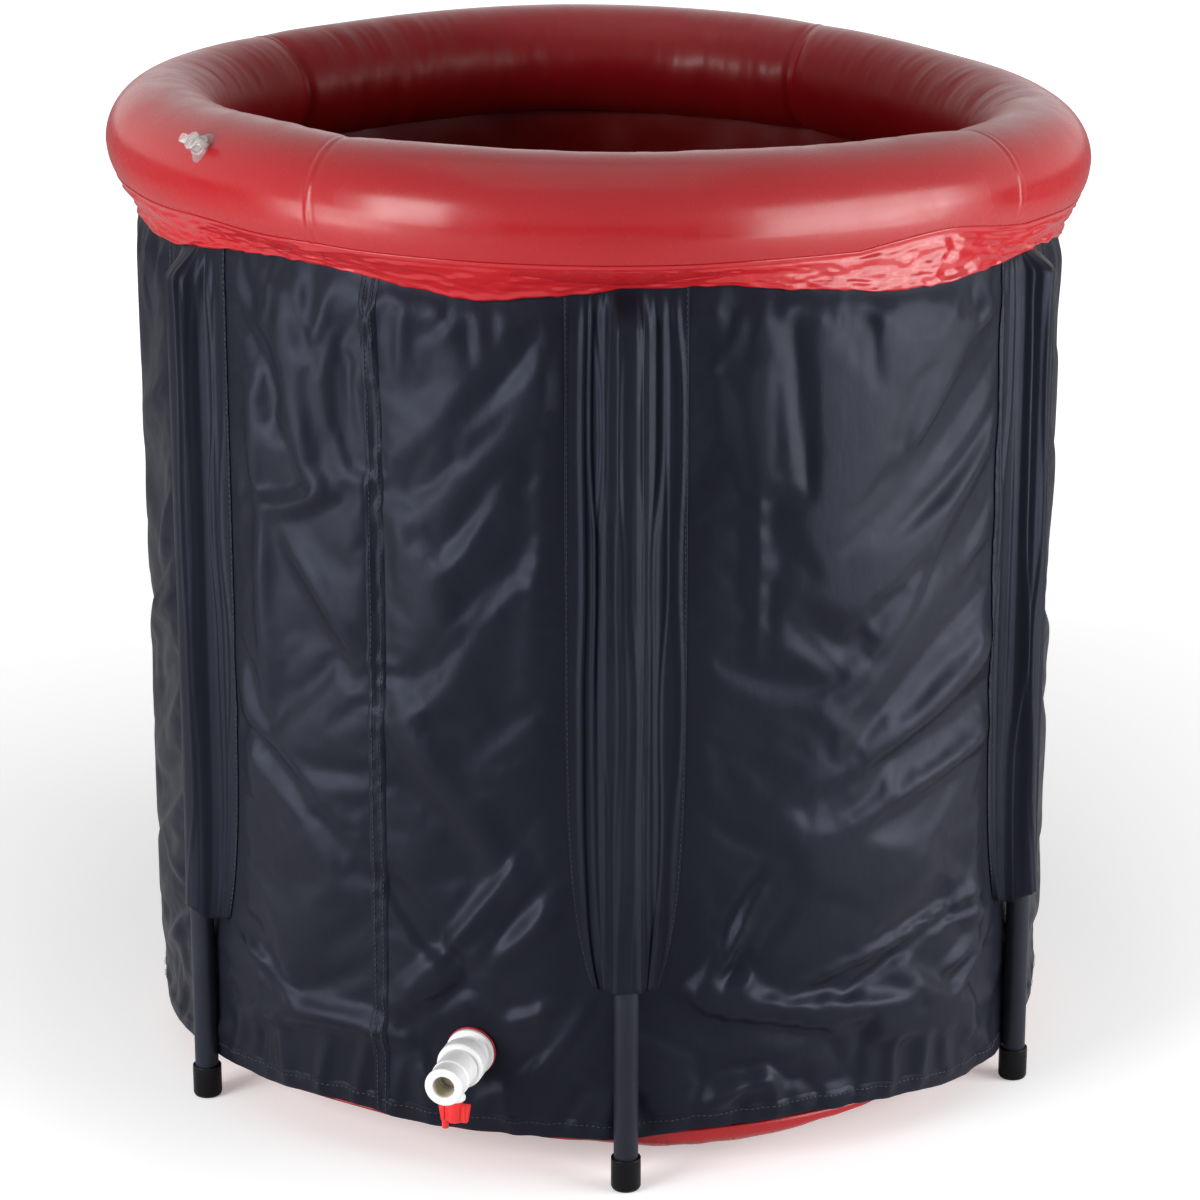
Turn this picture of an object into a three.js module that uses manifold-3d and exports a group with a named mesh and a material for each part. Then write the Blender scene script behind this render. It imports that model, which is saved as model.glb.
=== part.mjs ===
// Portable cold plunge tub: a soft vinyl tub with an inflatable rim, a fabric cover with
// six pole pockets, six removable poles, a ball-valve drain tap and an air valve.
// Millimetres, +Z up. The origin is on the floor under the middle of the tub, and the
// drain tap points along -Y. Angles run from -Y towards +X, as seen from the tap's side.
import * as THREE from "three";
import { mergeVertices } from "three/addons/utils/BufferGeometryUtils.js";
import Module from "manifold-3d";

// Driving dimensions: clearances
const FIT_GAP = 0.3; // between pieces that seat on each other
const POCKET_CLEARANCE = 0.7; // between a pole and its pocket, all round

// Driving dimensions: inflatable ring and its skirt
const RING_OUTER_RADIUS = 373; // on average, as the soft ring is not quite round
const RING_TUBE_RADIUS = 45;
const RING_TOP = 756; // on average, as the ring sags to one side
const RING_WALL = 1.2;
const RING_OVAL = 11; // how far the ring is drawn out, and in across that
const RING_OVAL_ANGLE = -12; // degrees
const RING_SQUARE = 9; // how far its four corners stand out
const RING_SQUARE_ANGLE = 10.5; // degrees
const RING_SAG = 9.5; // the high side above the middle, and the low side below it
const RING_SAG_ANGLE = -63; // degrees, to the high side
const RING_WARP = 4.5; // two opposite sides up, the other two down
const RING_WARP_ANGLE = 15.5; // degrees
const RING_SEAM_COUNT = 4; // the tube is welded from this many lengths
const RING_SEAM_START = -16.5; // degrees
const RING_SEAM_PINCH = 2.5;
const RING_SEAM_WIDTH = 4; // degrees each side of the weld
const SKIRT_THICKNESS = 1;
const SKIRT_WELD_ARC = 14; // degrees round the tube
const SKIRT_DROP = 4; // how far the skirt hangs below the tube
const SKIRT_WAVE = 5;
const SKIRT_WAVE_COUNT = 7;
const SKIRT_DIP_ANGLE = 2; // degrees, to one of its lowest places

// Driving dimensions: layered wall and floor
const WALL_INSET = 3; // from the ring's outside to the cover's, where the ring is narrowest
const COVER_THICKNESS = 1.4;
const FOAM_THICKNESS = 3;
const LINER_THICKNESS = 0.8;
const HEM_HEIGHT = 34; // the cover's lower edge above the floor
const HEM_WIDTH = 18;
const HEM_THICKENING = 1.2;
const FOLD_DEPTH = 7;
const FOLDS_PER_PANEL = 3;
const FOLD_SLANT = 0.6; // how far a fold drifts sideways over its height, in folds
const FLOOR_RIM_HEIGHT = 36;
const FLOOR_CORNER_DROP = 12;
const FLOOR_CORNER_INSET = 9;
const FLOOR_FLAT_RADIUS = 180; // the middle of the floor lies on the ground
const FLOOR_THICKNESS = 1.5;

// Driving dimensions: poles, pockets and end caps
const POLE_COUNT = 6;
const POLE_START = 18.5; // degrees from the drain tap to the first pole
const POLE_RADIUS = 9;
const POLE_BORE_RADIUS = 7;
const POCKET_BOTTOM = 152;
const POCKET_HALF_WIDTH = 42;
const POCKET_TENT_HALF_WIDTH = 18;
const POCKET_CLOTH = 1;
const FOOT_RADIUS = 11;
const FOOT_HEIGHT = 25;
const FOOT_SOLE = 4;
const FOOT_CHAMFER = 1.6;
const TOP_CAP_HEAD = 3;
const TOP_CAP_SPIGOT = 15;

// Driving dimensions: drain fitting and ball-valve tap, along the drain's axis
const DRAIN_HEIGHT = 99;
const DRAIN_BORE_RADIUS = 7.5;
const DRAIN_TUBE_RADIUS = 10.5;
const DRAIN_FLANGE_RADIUS = 18;
const DRAIN_FLANGE_THICKNESS = 4;
const GASKET_THICKNESS = 2;
const NUT_HUB_RADIUS = 14;
const NUT_HUB_LENGTH = 9;
const INLET_RADIUS = 17.5;
const INLET_LENGTH = 16;
const INLET_WEB = 3.5;
const BALL_RADIUS = 10.5;
const SEAT_THICKNESS = 3;
const SEAT_BORE_RADIUS = 8;
const CHAMBER_WALL = 3.2;
const SPOUT_RADIUS = 13.5;
const SPOUT_BORE_RADIUS = 8;
const SPOUT_LENGTH = 15;
const SPOUT_LIP = 0.7;
const SPOUT_LIP_LENGTH = 3;

// Driving dimensions: tap stem and handle, below the ball
const STEM_RADIUS = 4.1;
const STEM_BLADE_WIDTH = 2.6;
const STEM_BLADE_DEPTH = 2.2;
const BONNET_RADIUS = 8;
const BONNET_LENGTH = 6; // below the chamber
const O_RING_TUBE_RADIUS = 0.6;
const O_RING_DEPTH = 3; // below the chamber's inside
const HANDLE_HUB_RADIUS = 7;
const HANDLE_HUB_HEIGHT = 17;
const HANDLE_WING_SPAN = 27;
const HANDLE_WING_THICKNESS = 5;
const HANDLE_WING_HEIGHT = 14;
const HANDLE_PEG_RADIUS = 2.7;
const HANDLE_PEG_LENGTH = 6;
const HANDLE_PEG_OFFSET = 9.5;
const SCREW_RADIUS = 1.5;
const SCREW_HEAD_RADIUS = 3.2;
const SCREW_HEAD_HEIGHT = 2;
const SCREW_GRIP = 6; // length of thread in the stem

// Driving dimensions: air valve in the ring
const AIR_VALVE_ANGLE = -35.3; // degrees round the tub
const AIR_VALVE_TURN = 36; // degrees up the tube from its outside
const AIR_DISC_RADIUS = 14;
const AIR_DISC_THICKNESS = 1;
const AIR_STEM_RADIUS = 6;
const AIR_STEM_BORE_RADIUS = 4.2;
const AIR_STEM_HEIGHT = 9; // above the ring's surface
const AIR_STEM_DEPTH = 4; // below the disc
const AIR_FLAP_THICKNESS = 0.8;
const STOPPER_PLUG_LENGTH = 7;
const STOPPER_CAP_RADIUS = 6.8;
const STOPPER_CAP_THICKNESS = 2;
const STOPPER_TAB_LENGTH = 9;
const STOPPER_TAB_WIDTH = 7;
const TETHER_WIDTH = 5;
const TETHER_THICKNESS = 1.6;
const TETHER_REACH = 5; // how far the strap stands out from the stem's loop

// Facet counts
const AROUND = 72; // round the tub, shared so that nested shells stay clear of each other
const TUBE_SIDES = 10;
const FLOOR_AROUND = 36;
const COVER_ROWS = 7;
const SMALL_SIDES = 16;
const FITTING_SIDES = 20;

// Sizes that follow from the driving dimensions
const chamberTube = RING_TUBE_RADIUS - RING_WALL;
const coverOuter = RING_OUTER_RADIUS - RING_OVAL - RING_SQUARE - WALL_INSET;
const coverInner = coverOuter - COVER_THICKNESS;
const foamOuter = coverInner - FIT_GAP;
const foamInner = foamOuter - FOAM_THICKNESS;
const linerOuter = foamInner - FIT_GAP;
const linerInner = linerOuter - LINER_THICKNESS;
const skirtLowest = RING_TOP - RING_SAG - RING_WARP - 2 * RING_TUBE_RADIUS - SKIRT_DROP - SKIRT_WAVE;
const pocketTop = skirtLowest - 2 * FIT_GAP;
const pocketBore = POLE_RADIUS + POCKET_CLEARANCE;
const poleCircle = coverOuter + FIT_GAP + POCKET_CLOTH + pocketBore;
const topCapTop = pocketTop - POCKET_CLOTH - FIT_GAP;
const poleTop = topCapTop - TOP_CAP_HEAD - FIT_GAP;
const poleBottom = FOOT_SOLE + FIT_GAP;

const radians = THREE.MathUtils.degToRad;
const FULL_TURN = 2 * Math.PI;
const wasm = await Module();
wasm.setup();

// Solid helpers

// A closed geometry with shared vertices, no collapsed faces, and its faces pointing out.
function closed(geometry) {
  const bare = geometry.clone();
  bare.deleteAttribute("normal");
  bare.deleteAttribute("uv");
  const merged = mergeVertices(bare, 1e-4);
  const position = merged.getAttribute("position");
  const corners = [0, 1, 2].map(() => new THREE.Vector3());
  const faces = [];
  let volume = 0;
  for (let i = 0; i < merged.index.count; i += 3) {
    const face = [0, 1, 2].map((k) => merged.index.getX(i + k));
    if (new Set(face).size < 3) continue;
    face.forEach((index, k) => corners[k].fromBufferAttribute(position, index));
    volume += corners[0].dot(corners[1].clone().cross(corners[2]));
    faces.push(face);
  }
  const turned = volume < 0 ? faces.map(([a, b, c]) => [a, c, b]) : faces;
  merged.setIndex(turned.flat());
  return merged;
}

function solidOf(geometry) {
  const merged = closed(geometry);
  const vertProperties = new Float32Array(merged.getAttribute("position").array);
  const triVerts = new Uint32Array(merged.index.array);
  return new wasm.Manifold(new wasm.Mesh({ numProp: 3, vertProperties, triVerts }));
}

function geometryOf(solid) {
  const { vertProperties, triVerts } = solid.getMesh();
  const geometry = new THREE.BufferGeometry();
  geometry.setAttribute("position", new THREE.BufferAttribute(vertProperties, 3));
  geometry.setIndex(new THREE.BufferAttribute(triVerts, 1));
  return geometry;
}

// The first geometry with others joined to it, and then others cut from it.
function combine(base, { add = [], cut = [] }) {
  let solid = solidOf(base);
  for (const piece of add) solid = solid.add(solidOf(piece));
  for (const piece of cut) solid = solid.subtract(solidOf(piece));
  return geometryOf(solid);
}

// A solid turned about Z from a profile of [radius, z] corners.
function turned(profile, sides) {
  const loop = [...profile, profile[0]].map(([radius, z]) => new THREE.Vector2(radius, z));
  return closed(new THREE.LatheGeometry(loop, sides).rotateX(Math.PI / 2));
}

function cylinder(radius, low, high, sides = FITTING_SIDES) {
  return turned([[0, low], [radius, low], [radius, high], [0, high]], sides);
}

function tube(radius, bore, low, high, sides = FITTING_SIDES) {
  return turned([[bore, low], [radius, low], [radius, high], [bore, high]], sides);
}

function box(width, depth, height, x, y, z) {
  return new THREE.BoxGeometry(width, depth, height).translate(x, y, z);
}

// A point at an angle round the tub, from -Y towards +X.
function around(angle, radius, z) {
  return new THREE.Vector3(radius * Math.sin(angle), -radius * Math.cos(angle), z);
}

// A ring whose closed section of [radius, z] corners may change round the tub.
function ringSolid(sectionAt, steps) {
  const count = sectionAt(0).length;
  const positions = [];
  const faces = [];
  for (let i = 0; i < steps; i++) {
    const angle = (i / steps) * FULL_TURN;
    for (const [radius, z] of sectionAt(angle)) positions.push(...around(angle, radius, z).toArray());
    const here = i * count;
    const next = ((i + 1) % steps) * count;
    for (let j = 0; j < count; j++) {
      const k = (j + 1) % count;
      faces.push(here + j, here + k, next + k, here + j, next + k, next + j);
    }
  }
  const geometry = new THREE.BufferGeometry();
  geometry.setAttribute("position", new THREE.Float32BufferAttribute(positions, 3));
  return closed(geometry.setIndex(faces));
}

// Inflatable ring

// The middle of the tube at an angle round the tub, as [radius, z].
function tubeMiddle(angle) {
  const oval = RING_OVAL * Math.cos(2 * (angle - radians(RING_OVAL_ANGLE)));
  const square = RING_SQUARE * Math.cos(4 * (angle - radians(RING_SQUARE_ANGLE)));
  const sag = RING_SAG * Math.cos(angle - radians(RING_SAG_ANGLE));
  const warp = RING_WARP * Math.cos(2 * (angle - radians(RING_WARP_ANGLE)));
  return [RING_OUTER_RADIUS - RING_TUBE_RADIUS + oval + square, RING_TOP - RING_TUBE_RADIUS + sag + warp];
}

// A point of the tube's section, at a turn that runs from its outside over its top.
function onTube(angle, turn, radius) {
  const [middle, height] = tubeMiddle(angle);
  return [middle + radius * Math.cos(turn), height + radius * Math.sin(turn)];
}

// Each weld draws the tube in a little.
function seamPinch(angle) {
  const spacing = 360 / RING_SEAM_COUNT;
  const past = THREE.MathUtils.euclideanModulo(
    THREE.MathUtils.radToDeg(angle) - RING_SEAM_START + spacing / 2, spacing) - spacing / 2;
  return RING_SEAM_PINCH * Math.exp(-((past / RING_SEAM_WIDTH) ** 2));
}

function tubeSection(angle, radius, sides) {
  const pinched = radius - seamPinch(angle);
  return Array.from({ length: sides }, (_, i) => onTube(angle, (i / sides) * FULL_TURN, pinched));
}

function inflatableRing() {
  const outside = ringSolid((angle) => tubeSection(angle, RING_TUBE_RADIUS, TUBE_SIDES), AROUND);
  const air = ringSolid((angle) => tubeSection(angle, chamberTube, TUBE_SIDES), AROUND);
  const valveHole = cylinder(AIR_STEM_RADIUS + FIT_GAP, -RING_TUBE_RADIUS, AIR_STEM_HEIGHT);
  return combine(outside, { cut: [air, valveHole.applyMatrix4(airValveFrame())] });
}

// Where a cylinder about the tub's axis meets the underside of the tube, a gap below it.
function underRing(angle, radius) {
  const [middle, height] = tubeMiddle(angle);
  const clear = RING_TUBE_RADIUS + FIT_GAP;
  return height - Math.sqrt(clear ** 2 - (radius - middle) ** 2) - FIT_GAP;
}

// A band that follows the tube a short way and then hangs down over the cover's top edge.
function ringSkirt() {
  // The straight chord of the weld stays clear of the tube.
  const inside = (RING_TUBE_RADIUS + 2 * FIT_GAP) / Math.cos(radians(SKIRT_WELD_ARC) / 2);
  const outside = inside + SKIRT_THICKNESS;
  const hang = coverOuter + FIT_GAP;
  return ringSolid((angle) => {
    const [middle, height] = tubeMiddle(angle);
    const wave = SKIRT_WAVE * Math.cos(SKIRT_WAVE_COUNT * (angle - radians(SKIRT_DIP_ANGLE)));
    const low = height - RING_TUBE_RADIUS - SKIRT_DROP - wave;
    const meet = -Math.acos((hang - middle) / inside);
    const meetOutside = -Math.acos((hang + SKIRT_THICKNESS - middle) / outside);
    const top = meet + radians(SKIRT_WELD_ARC);
    return [
      onTube(angle, top, inside), onTube(angle, top, outside), onTube(angle, meetOutside, outside),
      [hang + SKIRT_THICKNESS, low], [hang, low], onTube(angle, meet, inside),
    ];
  }, AROUND);
}

// Layered wall and floor

// How far the cover stands out in soft folds between two pockets.
function coverFold(angle, z, low, high) {
  const panel = 360 / POLE_COUNT;
  const share = THREE.MathUtils.euclideanModulo(THREE.MathUtils.radToDeg(angle) - POLE_START, panel) / panel;
  const pocket = THREE.MathUtils.radToDeg(POCKET_HALF_WIDTH / coverOuter) / panel;
  const inPanel = THREE.MathUtils.clamp((share - pocket) / (1 - 2 * pocket), 0, 1);
  const rise = THREE.MathUtils.clamp((z - low) / (high - low), 0, 1);
  const wave = 0.5 + 0.5 * Math.sin(FULL_TURN * (FOLDS_PER_PANEL * inPanel + FOLD_SLANT * rise));
  return FOLD_DEPTH * Math.sin(Math.PI * inPanel) ** 2 * Math.sin(Math.PI * rise) * wave;
}

function wallShell(outer, inner) {
  const low = FLOOR_RIM_HEIGHT + FIT_GAP;
  return ringSolid((angle) => {
    const high = Math.min(underRing(angle, outer), underRing(angle, inner));
    return [[inner, low], [outer, low], [outer, high], [inner, high]];
  }, AROUND);
}

function drainHole() {
  const reach = RING_OUTER_RADIUS;
  return cylinder(DRAIN_TUBE_RADIUS + FIT_GAP, 0, reach).applyMatrix4(drainFrame());
}

function fabricCover() {
  const hemTop = HEM_HEIGHT + HEM_WIDTH;
  const draped = ringSolid((angle) => {
    const top = Math.min(underRing(angle, coverOuter), underRing(angle, coverInner));
    const rows = Array.from({ length: COVER_ROWS }, (_, i) => {
      const z = hemTop + ((pocketTop - hemTop) * i) / (COVER_ROWS - 1);
      return [coverOuter + coverFold(angle, z, hemTop, pocketTop), z];
    });
    const hem = coverOuter + HEM_THICKENING;
    return [
      [coverInner, HEM_HEIGHT], [hem, HEM_HEIGHT], [hem, hemTop - HEM_THICKENING], ...rows,
      [coverOuter, top], [coverInner, top],
    ];
  }, AROUND);
  const flangeSeat = cylinder(DRAIN_FLANGE_RADIUS + HEM_THICKENING, coverOuter, RING_OUTER_RADIUS);
  return combine(draped, { cut: [drainHole(), flangeSeat.applyMatrix4(drainFrame())] });
}

function insulationFoam() {
  return combine(wallShell(foamOuter, foamInner), { cut: [drainHole()] });
}

function linerWall() {
  return combine(wallShell(linerOuter, linerInner), { cut: [drainHole()] });
}

function linerFloor() {
  const cornerRadius = linerOuter - FLOOR_CORNER_INSET;
  const cornerHeight = FLOOR_RIM_HEIGHT - FLOOR_CORNER_DROP - FLOOR_CORNER_INSET;
  const profile = [
    [0, 0], [FLOOR_FLAT_RADIUS, 0], [cornerRadius, cornerHeight],
    [linerOuter, FLOOR_RIM_HEIGHT - FLOOR_CORNER_DROP], [linerOuter, FLOOR_RIM_HEIGHT],
    [linerInner, FLOOR_RIM_HEIGHT], [linerInner, FLOOR_RIM_HEIGHT - FLOOR_CORNER_DROP + FLOOR_THICKNESS],
    [cornerRadius, cornerHeight + FLOOR_THICKNESS], [FLOOR_FLAT_RADIUS, FLOOR_THICKNESS], [0, FLOOR_THICKNESS],
  ];
  return turned(profile, FLOOR_AROUND);
}

// Poles, pockets and caps, each about its own upright axis at the pole circle

function pole() {
  return tube(POLE_RADIUS, POLE_BORE_RADIUS, poleBottom, poleTop, SMALL_SIDES);
}

function footCap() {
  const bore = POLE_RADIUS + FIT_GAP;
  const tread = FOOT_RADIUS - FOOT_CHAMFER;
  return turned([
    [0, 0], [tread, 0], [FOOT_RADIUS, FOOT_CHAMFER], [FOOT_RADIUS, FOOT_HEIGHT],
    [bore, FOOT_HEIGHT], [bore, FOOT_SOLE], [0, FOOT_SOLE],
  ], SMALL_SIDES);
}

function topCap() {
  const spigot = POLE_BORE_RADIUS - FIT_GAP;
  const head = topCapTop - TOP_CAP_HEAD;
  return turned([
    [0, head - TOP_CAP_SPIGOT], [spigot, head - TOP_CAP_SPIGOT], [spigot, head],
    [POLE_RADIUS, head], [POLE_RADIUS, topCapTop], [0, topCapTop],
  ], SMALL_SIDES);
}

// A sleeve sewn to the cover along both edges, open at the bottom and closed at the top.
// Its plan is drawn with +Y pointing out of the tub and the pole's axis at the origin.
function polePocket() {
  const ARC_STEPS = 8;
  const seat = coverOuter + FIT_GAP;
  const onCover = (across, lift) => {
    const angle = across / coverOuter;
    const radius = seat + lift;
    return new THREE.Vector2(radius * Math.sin(angle), radius * Math.cos(angle) - poleCircle);
  };
  const plan = [];
  for (let i = 0; i <= ARC_STEPS; i++) {
    plan.push(onCover(POCKET_HALF_WIDTH * ((2 * i) / ARC_STEPS - 1), 0));
  }
  plan.push(onCover(POCKET_HALF_WIDTH, POCKET_CLOTH), onCover(POCKET_TENT_HALF_WIDTH, POCKET_CLOTH));
  const crown = pocketBore + POCKET_CLOTH;
  for (let i = 0; i <= ARC_STEPS; i++) {
    const turn = (Math.PI * i) / ARC_STEPS;
    plan.push(new THREE.Vector2(crown * Math.cos(turn), crown * Math.sin(turn)));
  }
  plan.push(onCover(-POCKET_TENT_HALF_WIDTH, POCKET_CLOTH), onCover(-POCKET_HALF_WIDTH, POCKET_CLOTH));
  const length = pocketTop - POCKET_BOTTOM;
  const sleeve = new THREE.ExtrudeGeometry(new THREE.Shape(plan), { depth: length, bevelEnabled: false });
  const bore = cylinder(pocketBore, POCKET_BOTTOM - POCKET_CLOTH, pocketTop - POCKET_CLOTH, FITTING_SIDES);
  return combine(sleeve.translate(0, 0, POCKET_BOTTOM), { cut: [bore] });
}

// Drain fitting and tap, turned about the drain's axis with z counted from the tub's axis

// Carries a piece turned about Z to the drain's axis, with its top still up.
function drainFrame() {
  return new THREE.Matrix4().makeRotationX(Math.PI / 2).setPosition(0, 0, DRAIN_HEIGHT);
}

// The flat gaskets stay clear of the curved wall at their edges.
const innerSeat = Math.sqrt(linerInner ** 2 - DRAIN_FLANGE_RADIUS ** 2) - FIT_GAP;
const innerFlangeFace = innerSeat - GASKET_THICKNESS - FIT_GAP;
const outerSeat = coverOuter + FIT_GAP;
const nutFace = outerSeat + GASKET_THICKNESS + FIT_GAP;
const nutEnd = nutFace + DRAIN_FLANGE_THICKNESS + NUT_HUB_LENGTH;
const inletStart = nutEnd + FIT_GAP;
const inletEnd = inletStart + INLET_LENGTH;
const bulkheadEnd = inletEnd - INLET_WEB - FIT_GAP;
const chamberStart = inletEnd + FIT_GAP;
const innerSeatRing = chamberStart + FIT_GAP;
// The seat's inner edge stays a fit gap away from the ball.
const seatReach = Math.sqrt((BALL_RADIUS + FIT_GAP) ** 2 - SEAT_BORE_RADIUS ** 2);
const ballCentre = innerSeatRing + SEAT_THICKNESS + seatReach;
const outerSeatRing = ballCentre + seatReach;
const chamberEnd = outerSeatRing + SEAT_THICKNESS + FIT_GAP;
const chamberRadius = BALL_RADIUS + 2 * FIT_GAP;
const bodyRadius = chamberRadius + CHAMBER_WALL;
const spoutEnd = chamberEnd + SPOUT_LENGTH;

function drainBulkhead() {
  const start = innerFlangeFace - DRAIN_FLANGE_THICKNESS;
  return turned([
    [DRAIN_BORE_RADIUS, start], [DRAIN_FLANGE_RADIUS, start], [DRAIN_FLANGE_RADIUS, innerFlangeFace],
    [DRAIN_TUBE_RADIUS, innerFlangeFace], [DRAIN_TUBE_RADIUS, bulkheadEnd], [DRAIN_BORE_RADIUS, bulkheadEnd],
  ], FITTING_SIDES);
}

function drainGasket(face) {
  return tube(DRAIN_FLANGE_RADIUS, DRAIN_TUBE_RADIUS + FIT_GAP, face, face + GASKET_THICKNESS);
}

function flangeNut() {
  const bore = DRAIN_TUBE_RADIUS + FIT_GAP;
  const step = nutFace + DRAIN_FLANGE_THICKNESS;
  return turned([
    [bore, nutFace], [DRAIN_FLANGE_RADIUS, nutFace], [DRAIN_FLANGE_RADIUS, step],
    [NUT_HUB_RADIUS, step], [NUT_HUB_RADIUS, nutEnd], [bore, nutEnd],
  ], FITTING_SIDES);
}

function tapInlet() {
  const socket = DRAIN_TUBE_RADIUS + FIT_GAP;
  const web = inletEnd - INLET_WEB;
  return turned([
    [socket, inletStart], [INLET_RADIUS, inletStart], [INLET_RADIUS, inletEnd],
    [DRAIN_BORE_RADIUS, inletEnd], [DRAIN_BORE_RADIUS, web], [socket, web],
  ], FITTING_SIDES);
}

function seatRing(start) {
  return tube(chamberRadius - FIT_GAP, SEAT_BORE_RADIUS, start, start + SEAT_THICKNESS);
}

// Tap stem parts, turned about an axis that points down from the middle of the ball
const bonnetEnd = bodyRadius + BONNET_LENGTH;
const slotDepth = STEM_BLADE_DEPTH + FIT_GAP;
const stemTop = BALL_RADIUS + FIT_GAP;
const handleTop = bonnetEnd + FIT_GAP;
const handleEnd = handleTop + HANDLE_HUB_HEIGHT;
const screwSeat = handleEnd - SCREW_HEAD_HEIGHT - FIT_GAP;
const stemEnd = screwSeat - SCREW_HEAD_HEIGHT;
const grooveTop = chamberRadius + O_RING_DEPTH;
const grooveHeight = 2 * (O_RING_TUBE_RADIUS + FIT_GAP);
const grooveRadius = STEM_RADIUS + FIT_GAP - 2 * O_RING_TUBE_RADIUS - 2 * FIT_GAP;

// Carries a piece turned about Z to the stem's axis, with its far end down.
function stemFrame() {
  return new THREE.Matrix4().makeRotationX(Math.PI).setPosition(0, -ballCentre, DRAIN_HEIGHT);
}

function tapBody() {
  const lipStart = spoutEnd - SPOUT_LIP_LENGTH;
  const lip = SPOUT_RADIUS + SPOUT_LIP;
  const outside = turned([
    [0, chamberStart], [bodyRadius, chamberStart], [bodyRadius, chamberEnd], [SPOUT_RADIUS, chamberEnd + FIT_GAP],
    [SPOUT_RADIUS, lipStart], [lip, lipStart], [lip, spoutEnd], [0, spoutEnd],
  ], FITTING_SIDES).applyMatrix4(drainFrame());
  const chamber = cylinder(chamberRadius, chamberStart - FIT_GAP, chamberEnd).applyMatrix4(drainFrame());
  const spout = cylinder(SPOUT_BORE_RADIUS, ballCentre, spoutEnd + FIT_GAP).applyMatrix4(drainFrame());
  const bonnet = cylinder(BONNET_RADIUS, 0, bonnetEnd).applyMatrix4(stemFrame());
  const stemBore = cylinder(STEM_RADIUS + FIT_GAP, 0, bonnetEnd + FIT_GAP).applyMatrix4(stemFrame());
  return combine(outside, { add: [bonnet], cut: [chamber, spout, stemBore] });
}

function tapBall() {
  const bore = cylinder(DRAIN_BORE_RADIUS, -2 * BALL_RADIUS, 2 * BALL_RADIUS).rotateY(Math.PI / 2);
  const slotLength = 2 * STEM_RADIUS;
  const slotTop = BALL_RADIUS - slotDepth;
  const slot = box(slotLength, STEM_BLADE_WIDTH + 2 * FIT_GAP, BALL_RADIUS, 0, 0, slotTop + BALL_RADIUS / 2);
  const sphere = new THREE.SphereGeometry(BALL_RADIUS, SMALL_SIDES, SMALL_SIDES / 2).rotateX(Math.PI / 2);
  return combine(sphere, { cut: [bore, slot] });
}

function tapStem() {
  const groove = tube(2 * STEM_RADIUS, grooveRadius, grooveTop, grooveTop + grooveHeight);
  const bladeTop = BALL_RADIUS - STEM_BLADE_DEPTH;
  const bladeHeight = stemTop - bladeTop + FIT_GAP;
  const bladeLength = 2 * (STEM_RADIUS - 3 * FIT_GAP);
  const blade = box(bladeLength, STEM_BLADE_WIDTH, bladeHeight, 0, 0, bladeTop + bladeHeight / 2);
  const screwHole = cylinder(SCREW_RADIUS + FIT_GAP, stemEnd - SCREW_GRIP - FIT_GAP, stemEnd + FIT_GAP, SMALL_SIDES);
  return combine(cylinder(STEM_RADIUS, stemTop, stemEnd), { add: [blade], cut: [groove, screwHole] });
}

function stemORing() {
  const middle = STEM_RADIUS + FIT_GAP - O_RING_TUBE_RADIUS - FIT_GAP / 2;
  const height = grooveTop + grooveHeight / 2;
  return new THREE.TorusGeometry(middle, O_RING_TUBE_RADIUS, 6, SMALL_SIDES).translate(0, 0, height);
}

function tapHandle() {
  const hub = cylinder(HANDLE_HUB_RADIUS, handleTop, handleEnd);
  const wingMiddle = handleEnd - HANDLE_WING_HEIGHT / 2;
  const wing = box(HANDLE_WING_SPAN, HANDLE_WING_THICKNESS, HANDLE_WING_HEIGHT, 0, 0, wingMiddle);
  const peg = cylinder(HANDLE_PEG_RADIUS, wingMiddle, handleEnd + HANDLE_PEG_LENGTH, SMALL_SIDES);
  const stemBore = cylinder(STEM_RADIUS + FIT_GAP, handleTop - FIT_GAP, stemEnd + FIT_GAP);
  const shankBore = cylinder(SCREW_RADIUS + FIT_GAP, stemEnd, handleEnd, SMALL_SIDES);
  const headBore = cylinder(SCREW_HEAD_RADIUS + FIT_GAP, screwSeat, handleEnd + FIT_GAP);
  return combine(hub, { add: [wing, peg.translate(-HANDLE_PEG_OFFSET, 0, 0)], cut: [stemBore, shankBore, headBore] });
}

function handleScrew() {
  const headTop = screwSeat + FIT_GAP;
  return turned([
    [0, stemEnd - SCREW_GRIP], [SCREW_RADIUS, stemEnd - SCREW_GRIP], [SCREW_RADIUS, headTop],
    [SCREW_HEAD_RADIUS, headTop], [SCREW_HEAD_RADIUS, headTop + SCREW_HEAD_HEIGHT], [0, headTop + SCREW_HEAD_HEIGHT],
  ], SMALL_SIDES);
}

// Air valve, turned about the outward normal of the ring, with z = 0 on the ring's surface

function airValveFrame() {
  const STEP = 1e-3;
  const angle = radians(AIR_VALVE_ANGLE);
  const turn = radians(AIR_VALVE_TURN);
  const at = (along, up) => around(angle + along, ...onTube(angle + along, turn + up, RING_TUBE_RADIUS));
  const sideways = at(STEP, 0).sub(at(-STEP, 0)).normalize();
  const over = at(0, STEP).sub(at(0, -STEP)).normalize();
  const outward = sideways.clone().cross(over).normalize();
  const upward = outward.clone().cross(sideways);
  return new THREE.Matrix4().makeBasis(sideways, upward, outward).setPosition(at(0, 0));
}

// The disc lies inside the chamber, so its edge stays clear of the curved wall.
const discTop = Math.sqrt((chamberTube * Math.cos(Math.PI / TUBE_SIDES)) ** 2 - AIR_DISC_RADIUS ** 2)
  - RING_TUBE_RADIUS - FIT_GAP;
const stemLow = discTop - AIR_DISC_THICKNESS - AIR_STEM_DEPTH;
const stopperSeat = AIR_STEM_HEIGHT + FIT_GAP;
const stopperTop = stopperSeat + STOPPER_CAP_THICKNESS;

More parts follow.
